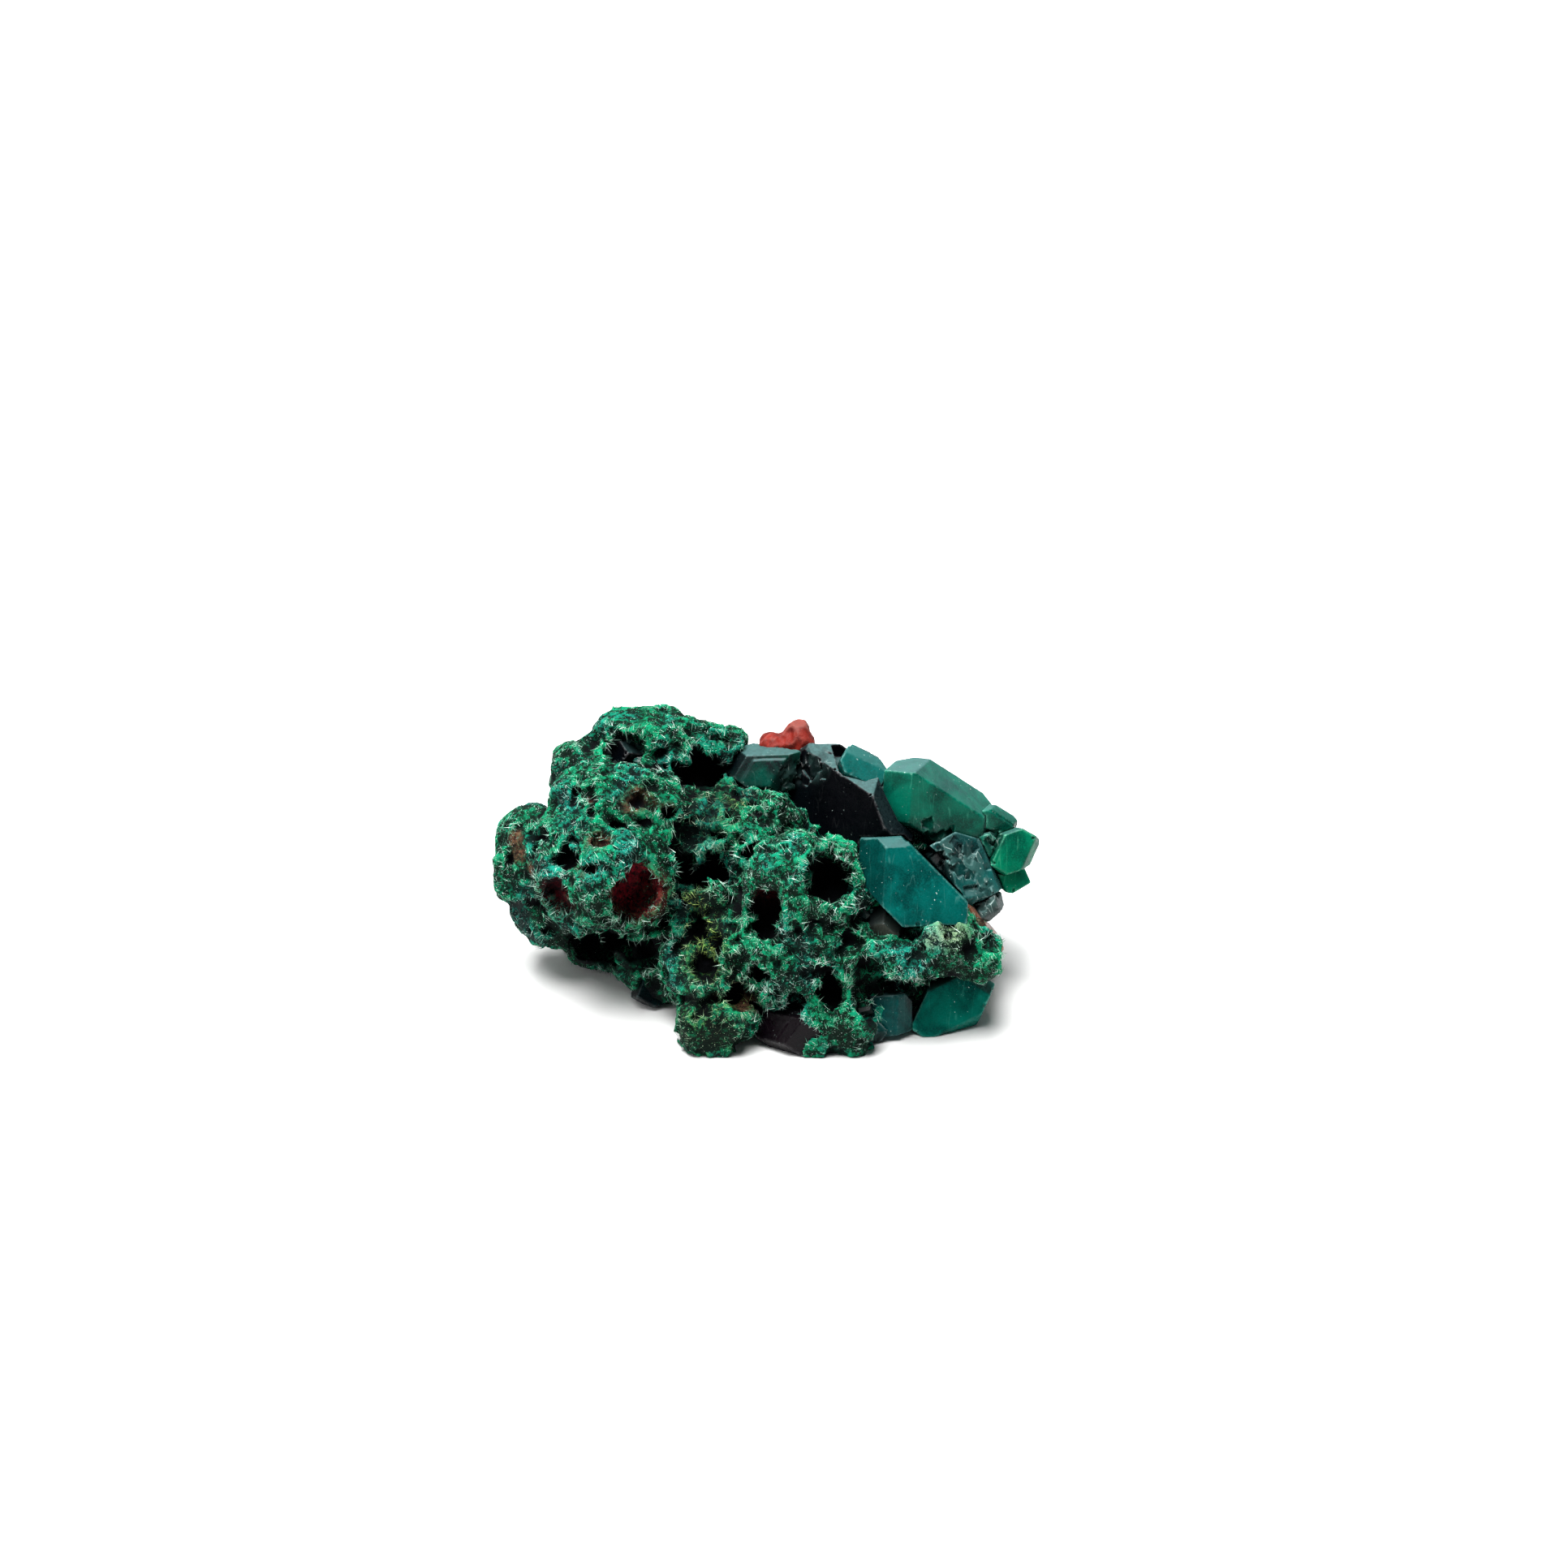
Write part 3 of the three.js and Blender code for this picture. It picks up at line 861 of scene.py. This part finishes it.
def felt_tree(material):
    """Needles strewn over a mesh and combed by a slow swirl, each rising a little from the surface."""
    tree = Tree("needle felt")
    names = ("Density", "Length", "Thickness", "Rise", "Stray", "Dark", "Pale")
    density, length, thickness, rise, stray, dark, pale = (tree.size(name) for name in names)
    seed = tree.size("Seed", "NodeSocketInt")
    felted = tree.node("GeometryNodeInputNamedAttribute", {"data_type": "FLOAT"}, {"Name": "felted"})
    amount = tree.node("ShaderNodeMath", {"operation": "MULTIPLY"}, {0: density, 1: felted})
    strewn = tree.tree.nodes.new("GeometryNodeDistributePointsOnFaces")
    tree.tree.links.new(tree.start.outputs["Geometry"], strewn.inputs["Mesh"])
    tree.tree.links.new(amount, strewn.inputs["Density"])
    tree.tree.links.new(seed, strewn.inputs["Seed"])
    normal = strewn.outputs["Normal"]
    swirl = tree.node("ShaderNodeTexNoise", {}, {"Scale": 1 / (1.5 * MM), "Detail": 2.0}, 1)
    comb = tree.vector("SUBTRACT", {0: swirl, 1: (0.5, 0.5, 0.5)})
    comb = tree.vector("NORMALIZE", {0: comb})
    jitter = tree.node(
        "FunctionNodeRandomValue",
        {"data_type": "FLOAT_VECTOR"},
        {"Min": (-1, -1, -1), "Max": (1, 1, 1), "Seed": seed},
    )
    jitter = tree.vector("SCALE", {0: jitter, "Scale": stray})
    lean = tree.vector("ADD", {0: comb, 1: jitter})
    up = tree.vector("DOT_PRODUCT", {0: lean, 1: normal}, 1)
    into = tree.vector("SCALE", {0: normal, "Scale": up})
    flat = tree.vector("SUBTRACT", {0: lean, 1: into})
    flat = tree.vector("NORMALIZE", {0: flat})
    lift = tree.vector("SCALE", {0: normal, "Scale": rise})
    along = tree.vector("ADD", {0: flat, 1: lift})
    turn = tree.node("FunctionNodeAlignRotationToVector", {"axis": "Z"}, {"Vector": along})
    span = {2: 0.45, 3: 1.25, "Seed": seed}
    spread = tree.node("FunctionNodeRandomValue", {"data_type": "FLOAT"}, span, 1)
    long = tree.node("ShaderNodeMath", {"operation": "MULTIPLY"}, {0: spread, 1: length})
    size = tree.node("ShaderNodeCombineXYZ", {}, {"X": thickness, "Y": thickness, "Z": long})
    needle = tree.node(
        "GeometryNodeMeshCone",
        {"fill_type": "NGON"},
        {"Vertices": 3, "Radius Top": 0.0, "Radius Bottom": 1.0, "Depth": 1.0},
    )
    tone = tree.node("FunctionNodeRandomValue", {"data_type": "FLOAT"}, {2: dark, 3: pale, "Seed": 7}, 1)
    marked = tree.node(
        "GeometryNodeStoreNamedAttribute",
        {"data_type": "FLOAT", "domain": "POINT"},
        {"Geometry": strewn.outputs["Points"], "Name": "tone", "Value": tone},
    )
    placed = tree.node(
        "GeometryNodeInstanceOnPoints",
        {},
        {"Points": marked, "Instance": needle, "Rotation": turn, "Scale": size},
    )
    solid = tree.node("GeometryNodeRealizeInstances", {}, {"Geometry": placed})
    done = tree.node("GeometryNodeSetMaterial", {}, {"Geometry": solid, "Material": material})
    tree.tree.links.new(done, tree.end.inputs["Geometry"])
    return tree


def needle_material():
    sheet = Sheet("malachite needles")
    tone = sheet.attribute("tone")
    green = felt_green(sheet, tone.over(0.0, 0.8))
    patch = sheet.noise(0.7, 4, 0.8, rough=0.6).over(0.45, 0.6)
    thread = tone.over(0.68, 0.86) * (0.1 + 0.9 * patch)
    # Painted highlight: pale threads gather on the crests.
    thread = (thread + 0.6 * sheet.attribute("crest") * tone.over(0.3, 0.9)).clamped()
    # Painted shade: fewer pale threads in pits.
    thread = thread * (1 - 0.8 * sheet.attribute("pit"))
    pale = sheet.blend(sheet.attribute("moss"), tint(220, 246, 234), tint(186, 214, 116))
    green = sheet.blend(thread, green, pale)
    # Painted shade: needles in hollows and shadow darken to near-black.
    green = sheet.blend(sheet.attribute("hollow").over(0.0, 0.75), green, tint(0, 8, 8))
    color = sheet.blend(sheet.attribute("stain") * patch * 0.8, green, tint(98, 80, 52))
    return sheet.shade(Base_Color=color, Roughness=0.6, Specular_IOR_Level=0.1)


# ---------------------------------------------------------------- the dioptase crystals
CRYSTAL_CELL = 0.12
INTERGROWTH = 0.13  # how far a crystal grows out to meet its neighbours
SMALL_FACE = 1.2  # square millimetres: a face under this gets no growth step
MOST_FACES = 8  # how many of a crystal's faces can have growth steps
MOST_FLAKES = 40  # on one crystal
POINTS_A_FLAKE = 40  # how many broken points each flake takes
DRUSE = 300  # how many small crystals there are


def face_planes(node):
    """A crystal's flat faces, each as its outward normal, how far out it lies and its area."""
    points, triangles = node_triangles(node)
    a, b, c = (points[triangles[:, corner]].astype(float) for corner in range(3))
    normals = np.cross(b - a, c - a)
    areas = np.linalg.norm(normals, axis=1) / 2
    planes = []
    for normal, area, corner in zip(normals, areas, a):
        if area < 1e-9:
            continue
        normal = normal / (2 * area)
        reach = float(normal @ corner)
        for plane in planes:
            if plane[0] @ normal > 0.9998 and abs(plane[1] - reach) < 0.01:
                plane[2] += area
                break
        else:
            planes.append([normal, reach, area])
    return sorted(planes, key=lambda plane: -plane[2])


def crowding():
    """How full of rock and crystal it is round about each place in the specimen."""
    space = Space(ALL_LOW, ALL_HIGH, 0.3, 1.0)
    inside = distance_to(["matrix", "cuprite_grain"] + CRYSTALS, space, 1.0) < 0
    return space, spread_out(inside.astype(np.float32), (1, 2, 4))


def flake(field, space, centre, out, rng):
    """Splits an angular flake off a field, in place. Its flat scar slopes inwards from centre."""
    reach = rng.uniform(0.5, 1.3)
    along = np.cross(out, rng.normal(0, 1, 3))
    along /= np.linalg.norm(along)
    across = np.cross(out, along)
    slant = rng.uniform(0.15, 0.5)
    side = rng.uniform(0.35, 0.8) * reach
    part, (x, y, z) = space.window(centre, 2 * reach)
    outwards, forwards, sideways = (way[0] * x + way[1] * y + way[2] * z for way in (out, along, across))
    scar = math.cos(slant) * outwards + math.sin(slant) * forwards
    walls = np.minimum(reach - forwards, side - np.abs(sideways))
    field[part] = np.maximum(field[part], np.minimum(scar, walls))


def growth_steps(field, space, node, size, seed, rng):
    """The crystal with low steps along some of its edges."""
    x, y, z = space.coordinates()
    planes = [plane for plane in face_planes(node) if plane[2] > SMALL_FACE][:MOST_FACES]
    for index, (normal, reach, _) in enumerate(planes):
        along = normal[0] * x + normal[1] * y + normal[2] * z
        for other_normal, other_reach, _ in planes:
            turn = float(normal @ other_normal)
            if not -0.6 < turn < 0.8 or rng.random() > 0.12:
                continue
            across = other_normal[0] * x + other_normal[1] * y + other_normal[2] * z
            width = size * rng.uniform(0.03, 0.12)
            depth = rng.uniform(0.08, 0.16)
            waver = 0.10 * swell(space, 1.6, seed + 7 * index)
            step = np.minimum(along - (reach - depth), across - (other_reach - width) + waver)
            field = np.maximum(field, step)
    return field


def chip_corners(field, space, size, rng):
    """Knocks small chips off a crystal's sharpest corners, in place."""
    points, _ = surface(field, space)
    sharp = points[fullness(field, space, points, 10) < 0.36]
    if len(sharp):
        for centre in sharp[rng.choice(len(sharp), min(len(sharp), int(2 + size)), replace=False)]:
            chip = rng.uniform(0.12, 0.34)
            scoop(field, space, centre, chip * rng.uniform(0.7, 1.6, 3), 0.06)


def flake_off(field, space, rng):
    """Splits flat flakes off a crystal where it is broken up, in place."""
    points, _ = surface(field, space)
    hurt = points[rng.random(len(points)) < nearness(points, BROKEN)]
    if len(hurt) > POINTS_A_FLAKE:
        count = min(MOST_FLAKES, len(hurt) // POINTS_A_FLAKE + 1)
        centres = hurt[rng.choice(len(hurt), count, replace=False)]
        for centre, out in zip(centres, way_out(field, space, centres)):
            flake(field, space, centre, out, rng)


def make_crystal(node, seed, crowd_space, crowd):
    """A crystal with growth steps along its edges, chipped corners and gently uneven faces."""
    low, high = box_of([node])
    size = float(np.max(high - low))
    space = Space(low, high, CRYSTAL_CELL, 0.6)
    rng = np.random.default_rng(seed)
    field = growth_steps(distance_to([node], space, 0.9), space, node, size, seed, rng)
    field += 0.018 * swell(space, 1.3, seed + 90) + 0.01 * swell(space, 0.5, seed + 91)
    chip_corners(field, space, size, rng)
    field -= INTERGROWTH
    flake_off(field, space, rng)
    kept = kept_between(field, space, ALL_LOW, ALL_HIGH)
    points, faces = main_part(*surface(kept, space))
    out = way_out(kept, space, points)
    crowded = ramp(crowd_space.read(crowd, points), 0.46, 0.74)
    piece = mesh_piece(node.replace("crystal", "dioptase"), points, faces)
    values = {
        "thin": np.clip((0.5 - fullness(field, space, points, 14)) * 3.0, 0, 1),
        "edge": np.clip((0.42 - fullness(field, space, points, 3)) * 8.0, 0, 1),
        # Painted shade mask: where the crystal is crowded by rock and crystal, and the shadow zones.
        "sunk": np.maximum(crowded, nearness(points, PAINTED_SHADE)),
        "broken": nearness(points, BROKEN),
        "upward": out[:, 2],
        "rightward": out[:, 0],
    }
    mark(piece, values)
    return piece


def paler(color, times, lift):
    """A linear colour made paler."""
    return (*(min(1.0, part * times + lift) for part in color[:3]), 1.0)


def crystal_body(sheet, deep, clear, veiled, turn):
    """The green of a crystal, with veils in clouds, grit all through and straight healed cracks."""
    where = sheet.turned(turn, (1, 1, 0.3))
    along = sheet.turned(turn, (1, 0.35, 0.05))
    depth = sheet.noise(3.6, 3, 0.8).over(0.32, 0.68)
    body = sheet.blend(depth, deep, clear)
    veil_cloud = sheet.noise(1.6, 5, 1.4, where)
    veils = veil_cloud.over(0.54, 0.7) * sheet.noise(0.35, 4, 1.0, where, 0.7).over(0.42, 0.75)
    body = sheet.blend(veils * 0.55 * veiled, body, paler(clear, 2.2, 0.004))
    grit = sheet.noise(0.13, 3, rough=0.7).over(0.4, 0.75)
    body = sheet.blend(grit * 0.35 * veiled, body, paler(clear, 1.9, 0.003))
    crack = (sheet.noise(1.1, 1, 0.1, along) - 0.5).apart()
    cracks = (1 - crack.over(0.001, 0.014)) * sheet.noise(1.8, 2).over(0.46, 0.6)
    body = sheet.blend(cracks * 0.22 * veiled, body, paler(clear, 2.6, 0.1))
    # Painted light: thin edges turn paler, as if light shone through them.
    return sheet.blend(sheet.attribute("thin").over(0.35, 1.0) * 0.45, body, paler(clear, 1.7, 0.002))


def broken_color(sheet, dust, turn):
    """Angular shards, dark and pale, with bright seams between some of them."""
    cells = {"Vector": sheet.turned(turn, (1, 1, 0.3)), "Scale": 1 / (0.8 * MM)}
    shard = sheet.node("ShaderNodeTexVoronoi", {}, cells, "Color")
    seam = sheet.node("ShaderNodeTexVoronoi", {"feature": "DISTANCE_TO_EDGE"}, cells, "Distance")
    pale = sheet.blend(dust, tint(40, 84, 80), tint(74, 96, 92))
    shards = sheet.blend(shard.over(0.25, 0.8), tint(5, 12, 14), pale)
    # Painted glints: bright lines along some shard edges.
    seams = (1 - seam.over(0.0, 0.07)) * sheet.noise(1.0, 3).over(0.5, 0.62)
    return sheet.blend(seams, shards, tint(186, 208, 202))


def dioptase(name, deep, clear, sheen_amount, veiled, turn):
    """Glassy green and near-black in its depth, paler at thin edges as painted light, with a painted
    frosty sheen on its tops and right faces, painted shade on faces turned left and where it is crowded,
    and painted highlights along sharp edges.
    """
    sheet = Sheet(name)
    dust = sheet.noise(0.4, 6, rough=0.75)
    body = crystal_body(sheet, deep, clear, veiled, turn)
    rightward = sheet.attribute("rightward")
    # Painted shade: faces turned to the left darken towards the deep colour.
    left = (-1 * rightward).over(0.35, 0.85)
    color = sheet.blend(left * 0.6, body, paler(deep, 0.5, 0.0))
    # Painted sheen: faces turned right take a frosty grey where they would catch the light.
    side = rightward.over(0.55, 0.95) * (0.4 + 0.6 * dust.over(0.3, 0.7))
    color = sheet.blend(side * 0.5 * sheen_amount, color, tint(66, 92, 96))
    # Painted sheen: tops turn a frosty grey-teal, standing in for the light above reflected in them; they
    # are rougher there too.
    top_sheen = sheet.attribute("upward").over(0.6, 0.95) * (0.5 + 0.5 * dust.over(0.3, 0.7))
    color = sheet.blend(top_sheen * sheen_amount, color, tint(70, 106, 105))
    color = sheet.blend(sheet.attribute("broken") * 0.7, color, broken_color(sheet, dust, turn))
    # Painted highlight: pale lines along the sharp edges.
    rim = sheet.attribute("edge") * dust.over(0.4, 0.62)
    color = sheet.blend(rim * 0.75, color, paler(clear, 2.2, 0.16))
    # Painted shade: near-black where the crystal is crowded and in the shadow zones.
    color = sheet.blend(sheet.attribute("sunk") * 0.9, color, tint(2, 6, 9))
    # White specks, partly dust and partly painted glints.
    specks = sheet.noise(0.2, 0).over(0.80, 0.83) * sheet.noise(2.2, 2).over(0.48, 0.62)
    color = sheet.blend(specks * 0.8 * veiled, color, tint(200, 220, 214))
    rough = (0.24 + 0.2 * dust.over(0.35, 0.8) + 0.3 * top_sheen).clamped()
    growth = sheet.noise(0.28, 3, 0.3, sheet.turned(turn, (1, 1, 0.3)))
    relief = sheet.bump(growth * 0.6 + dust * 0.4, 0.03, 0.4)
    return sheet.shade(Base_Color=color, Roughness=rough, Normal=relief, Specular_IOR_Level=0.1)


# Each crystal's look: its colour in its depth and where light comes through, how strong the painted sheen
# on its top and right faces is, and how veiled its inside.
NEAR_BLACK = tint(1, 1, 4)
SMOKY = tint(12, 8, 14)
DARK_TEAL = tint(0, 46, 44)
DEEP_GREEN = tint(0, 54, 44)
TEAL = tint(0, 84, 78)
GREEN = tint(0, 104, 82)
BRIGHT_GREEN = tint(0, 112, 80)
DULL = tint(52, 60, 58)
PLAIN = (DARK_TEAL, TEAL, 0.8, 1.0)
LOOKS = {
    "crystal_ridge": (DEEP_GREEN, GREEN, 1.0, 0.9),
    "crystal_front": (DARK_TEAL, TEAL, 0.7, 1.0),
    "crystal_dark": (NEAR_BLACK, tint(4, 4, 8), 0.9, 0.4),
    "crystal_cap": (DARK_TEAL, TEAL, 0.35, 1.0),
    "crystal_crest": (SMOKY, DEEP_GREEN, 0.9, 1.0),
    "crystal_right": (tint(10, 26, 30), tint(14, 78, 74), 0.8, 1.3),
    "crystal_tip_upper": (DEEP_GREEN, BRIGHT_GREEN, 0.6, 1.0),
    "crystal_tip_lower": (DEEP_GREEN, BRIGHT_GREEN, 0.6, 1.0),
    "crystal_tip_root": (DEEP_GREEN, GREEN, 0.7, 1.0),
    "crystal_step": (DEEP_GREEN, GREEN, 0.7, 1.2),
    "crystal_shard": (DARK_TEAL, DULL, 0.8, 1.2),
    "crystal_stained": (tint(58, 22, 14), tint(130, 84, 62), 0.3, 0.6),
    "crystal_grey": (tint(34, 36, 34), tint(72, 76, 68), 0.3, 0.8),
    "crystal_base_left": (tint(0, 28, 30), tint(0, 66, 64), 1.0, 1.0),
    "crystal_base_right": (DARK_TEAL, tint(0, 104, 90), 0.5, 1.0),
    "crystal_base_small": (NEAR_BLACK, DARK_TEAL, 0.2, 0.6),
    "crystal_foot": (NEAR_BLACK, tint(10, 3, 8), 0.0, 0.3),
    "crystal_lower_left": (NEAR_BLACK, DARK_TEAL, 0.2, 0.6),
    "crystal_pocket": (NEAR_BLACK, SMOKY, 0.4, 0.5),
}


def prism(half, height, tip):
    """The points and triangles of a small six-sided crystal with a blunt point, standing on z = 0."""
    ring = [(math.cos(k * math.pi / 3) * half, math.sin(k * math.pi / 3) * half) for k in range(6)]
    points = [(x, y, -0.3 * height) for x, y in ring]
    points += [(x, y, height * (1 - tip * (k % 2))) for k, (x, y) in enumerate(ring)]
    points += [(0.0, 0.0, -0.3 * height), (0.0, 0.0, height * 1.05)]
    faces = []
    for k in range(6):
        n = (k + 1) % 6
        faces += [(k, n, 6 + n), (k, 6 + n, 6 + k), (12, n, k), (13, 6 + k, 6 + n)]
    return np.array(points), np.array(faces)


def make_druse(field, space, crystals):
    """Small crystals crowded in the gaps where the large ones stand on the matrix."""
    points, _ = surface(field, space)
    room = space.read(crystals, points)
    crowded = fullness(field, space, points, 40) > 0.56
    points = points[crowded & (room > 0.05) & (room < 0.9) & (points[:, 2] > 1.5)]
    rng = np.random.default_rng(77)
    places = points[rng.choice(len(points), DRUSE, replace=False)]
    all_points = []
    all_faces = []
    tones = []
    for place, out in zip(places, way_out(field, space, places)):
        way = Vector(out + rng.normal(0, 0.55, 3)).normalized()
        size = rng.uniform(0.2, 0.5)
        corners, faces = prism(size, size * rng.uniform(1.2, 2.4), rng.uniform(0.15, 0.4))
        turn = np.array(way.to_track_quat("Z", "X").to_matrix())
        corners = np.clip(corners @ turn.T + place, ALL_LOW, ALL_HIGH)
        all_faces.append(faces[:, ::-1] + sum(map(len, all_points)))
        all_points.append(corners)
        tones += [rng.random()] * len(corners)
    piece = mesh_piece("dioptase_druse", np.concatenate(all_points), np.concatenate(all_faces))
    piece.data.shade_flat()
    mark(piece, {"tone": tones})
    return piece


def druse_material():
    sheet = Sheet("dioptase druse")
    body = sheet.blend(sheet.attribute("tone"), tint(2, 10, 12), tint(16, 66, 58))
    dull = sheet.noise(2.0, 2).over(0.45, 0.6)
    color = sheet.blend(dull * 0.5, body, tint(44, 52, 50))
    return sheet.shade(Base_Color=color, Roughness=0.35, Specular_IOR_Level=0.3)


# ---------------------------------------------------------------- the cuprite grain
def make_grain():
    """The cuprite grain, lumpier than its CAD solid."""
    low, high = box_of(["cuprite_grain"])
    space = Space(low, high, 0.1, 0.6)
    solid = softened(distance_to(["cuprite_grain"], space, 2.4), 12)
    field = bent(solid, space, ((0.3, 1.6, 305),))
    field += 0.3 * np.abs(swell(space, 1.3, 301)) + 0.2 * np.abs(swell(space, 0.6, 302)) - 0.25
    field = kept_between(field, space, low, high)
    points, faces = main_part(*surface(field, space))
    values = {
        "crest": np.clip((0.5 - fullness(field, space, points, 8)) * 4, 0, 1),
        "height": ramp(points[:, 2], high[2] - 2.6, high[2]),
    }
    piece = mesh_piece("cuprite_lump", points, faces)
    mark(piece, values)
    return piece


def cuprite_material():
    sheet = Sheet("earthy cuprite")
    grain = sheet.noise(0.3, 5, 0.4, rough=0.7)
    cloud = sheet.noise(1.1, 3).over(0.35, 0.65)
    red = sheet.blend(cloud, tint(84, 6, 0), tint(126, 24, 10))
    red = sheet.blend(grain.over(0.45, 0.75) * 0.6, red, tint(148, 46, 28))
    # Painted sheen: the highest crests turn a pale pink where they would catch the light from above.
    top = (sheet.attribute("height") * sheet.attribute("crest").over(0.0, 0.5)).clamped()
    color = sheet.blend(top * 0.5, red, tint(150, 84, 74))
    rough = 0.42 + 0.3 * grain
    relief = sheet.bump(grain, 0.12, 0.7)
    return sheet.shade(Base_Color=color, Roughness=rough, Normal=relief, Specular_IOR_Level=0.25)


# ---------------------------------------------------------------- camera, floor and lights
def middle_of_box():
    low, high = (np.array(corner) for corner in CAD_BOX)
    return Vector((low + high) / 2)


def aimed(piece, at, spot):
    """Puts an object at a place and turns its -Z axis to a spot."""
    piece.location = at
    piece.rotation_euler = (Vector(spot) - Vector(at)).to_track_quat("-Z", "Y").to_euler()
    bpy.context.scene.collection.objects.link(piece)
    return piece


def add_camera():
    lens = bpy.data.cameras.new("camera")
    lens.lens = 85
    lens.sensor_width = 36
    lens.clip_start = 0.01
    aim = middle_of_box() + Vector((1.76, -0.21, 10.41)) * MM
    elevation = math.radians(30)
    away = 0.365
    at = aim + Vector((0, -math.cos(elevation), math.sin(elevation))) * away
    bpy.context.scene.camera = aimed(bpy.data.objects.new("camera", lens), at, aim)


def add_panel(name, at, size, watts, color=(1, 1, 1)):
    light = bpy.data.lights.new(name, "AREA")
    light.shape = "RECTANGLE"
    light.size, light.size_y = size
    light.energy = watts
    light.color = color
    aimed(bpy.data.objects.new(name, light), at, middle_of_box())


def add_studio():
    scene = bpy.context.scene
    scene.view_settings.view_transform = "Standard"
    world = bpy.data.worlds.new("studio")
    scene.world = world
    world.use_nodes = True
    nodes = world.node_tree.nodes
    link = world.node_tree.links.new
    room = nodes["Background"]
    room.inputs["Color"].default_value = (0.9, 0.95, 1.0, 1)
    room.inputs["Strength"].default_value = 0.07
    backdrop = nodes.new("ShaderNodeBackground")
    backdrop.inputs["Color"].default_value = (0.9, 0.9, 0.9, 1)
    seen = nodes.new("ShaderNodeLightPath")
    both = nodes.new("ShaderNodeMixShader")
    link(seen.outputs["Is Camera Ray"], both.inputs["Fac"])
    link(room.outputs["Background"], both.inputs[1])
    link(backdrop.outputs["Background"], both.inputs[2])
    link(both.outputs["Shader"], nodes["World Output"].inputs["Surface"])
    add_panel("overhead panel", (-0.1, 0.02, 0.5), (0.42, 0.36), 7.6)
    add_panel("back panel", (0.0, 0.55, 0.3), (0.9, 0.4), 0.8)
    add_panel("left panel", (-0.42, -0.2, 0.25), (0.25, 0.3), 0.5)
    half = 1.5
    corners = np.array([(-half, -half), (half, -half), (half, half), (-half, half)]) / MM
    floor = mesh_piece("floor", np.column_stack([corners, np.zeros(4)]), np.array([[3, 2, 1, 0]]))
    sheet = Sheet("pale floor")
    color = sheet.blend(sheet.noise(30, 2), tint(244, 244, 243), tint(247, 247, 246))
    floor.data.materials.append(sheet.shade(Base_Color=color, Roughness=0.7))


# ---------------------------------------------------------------- making it
add_camera()
add_studio()

matrix_space, matrix_surface, crystal_distance = make_matrix()
matrix = thinned(mesh_piece("matrix_rock", *main_part(*surface(matrix_surface, matrix_space))), TRIANGLES)
mark(matrix, matrix_values(points_of(matrix), matrix_space, matrix_surface, crystal_distance))
matrix.data.materials.append(matrix_material())

needles = needle_material()
tree = felt_tree(needles)
area = sum(polygon.area for polygon in matrix.data.polygons)
for name, sizes in FELTS.items():
    sizes = {key: value * MM if key in ("Length", "Thickness") else value for key, value in sizes.items()}
    felt = tree.run(matrix, name, Density=NEEDLES / area, **sizes)
    keep_within(felt, FELT_ROOM)
    finish_piece(felt, needles)
finish_piece(matrix, None, ["matrix"])

crowd = crowding()
for index, node in enumerate(CRYSTALS):
    look = LOOKS.get(node, PLAIN)
    turn = tuple(np.random.default_rng(60 + index).uniform(-1.5, 1.5, 3))
    material = dioptase("dioptase " + node.replace("crystal_", "").replace("_", " "), *look, turn)
    crystal = make_crystal(node, 100 + 10 * index, *crowd)
    finish_piece(crystal, material, [node])
druse = make_druse(matrix_surface, matrix_space, crystal_distance)
finish_piece(druse, druse_material())
finish_piece(make_grain(), cuprite_material(), ["cuprite_grain"])
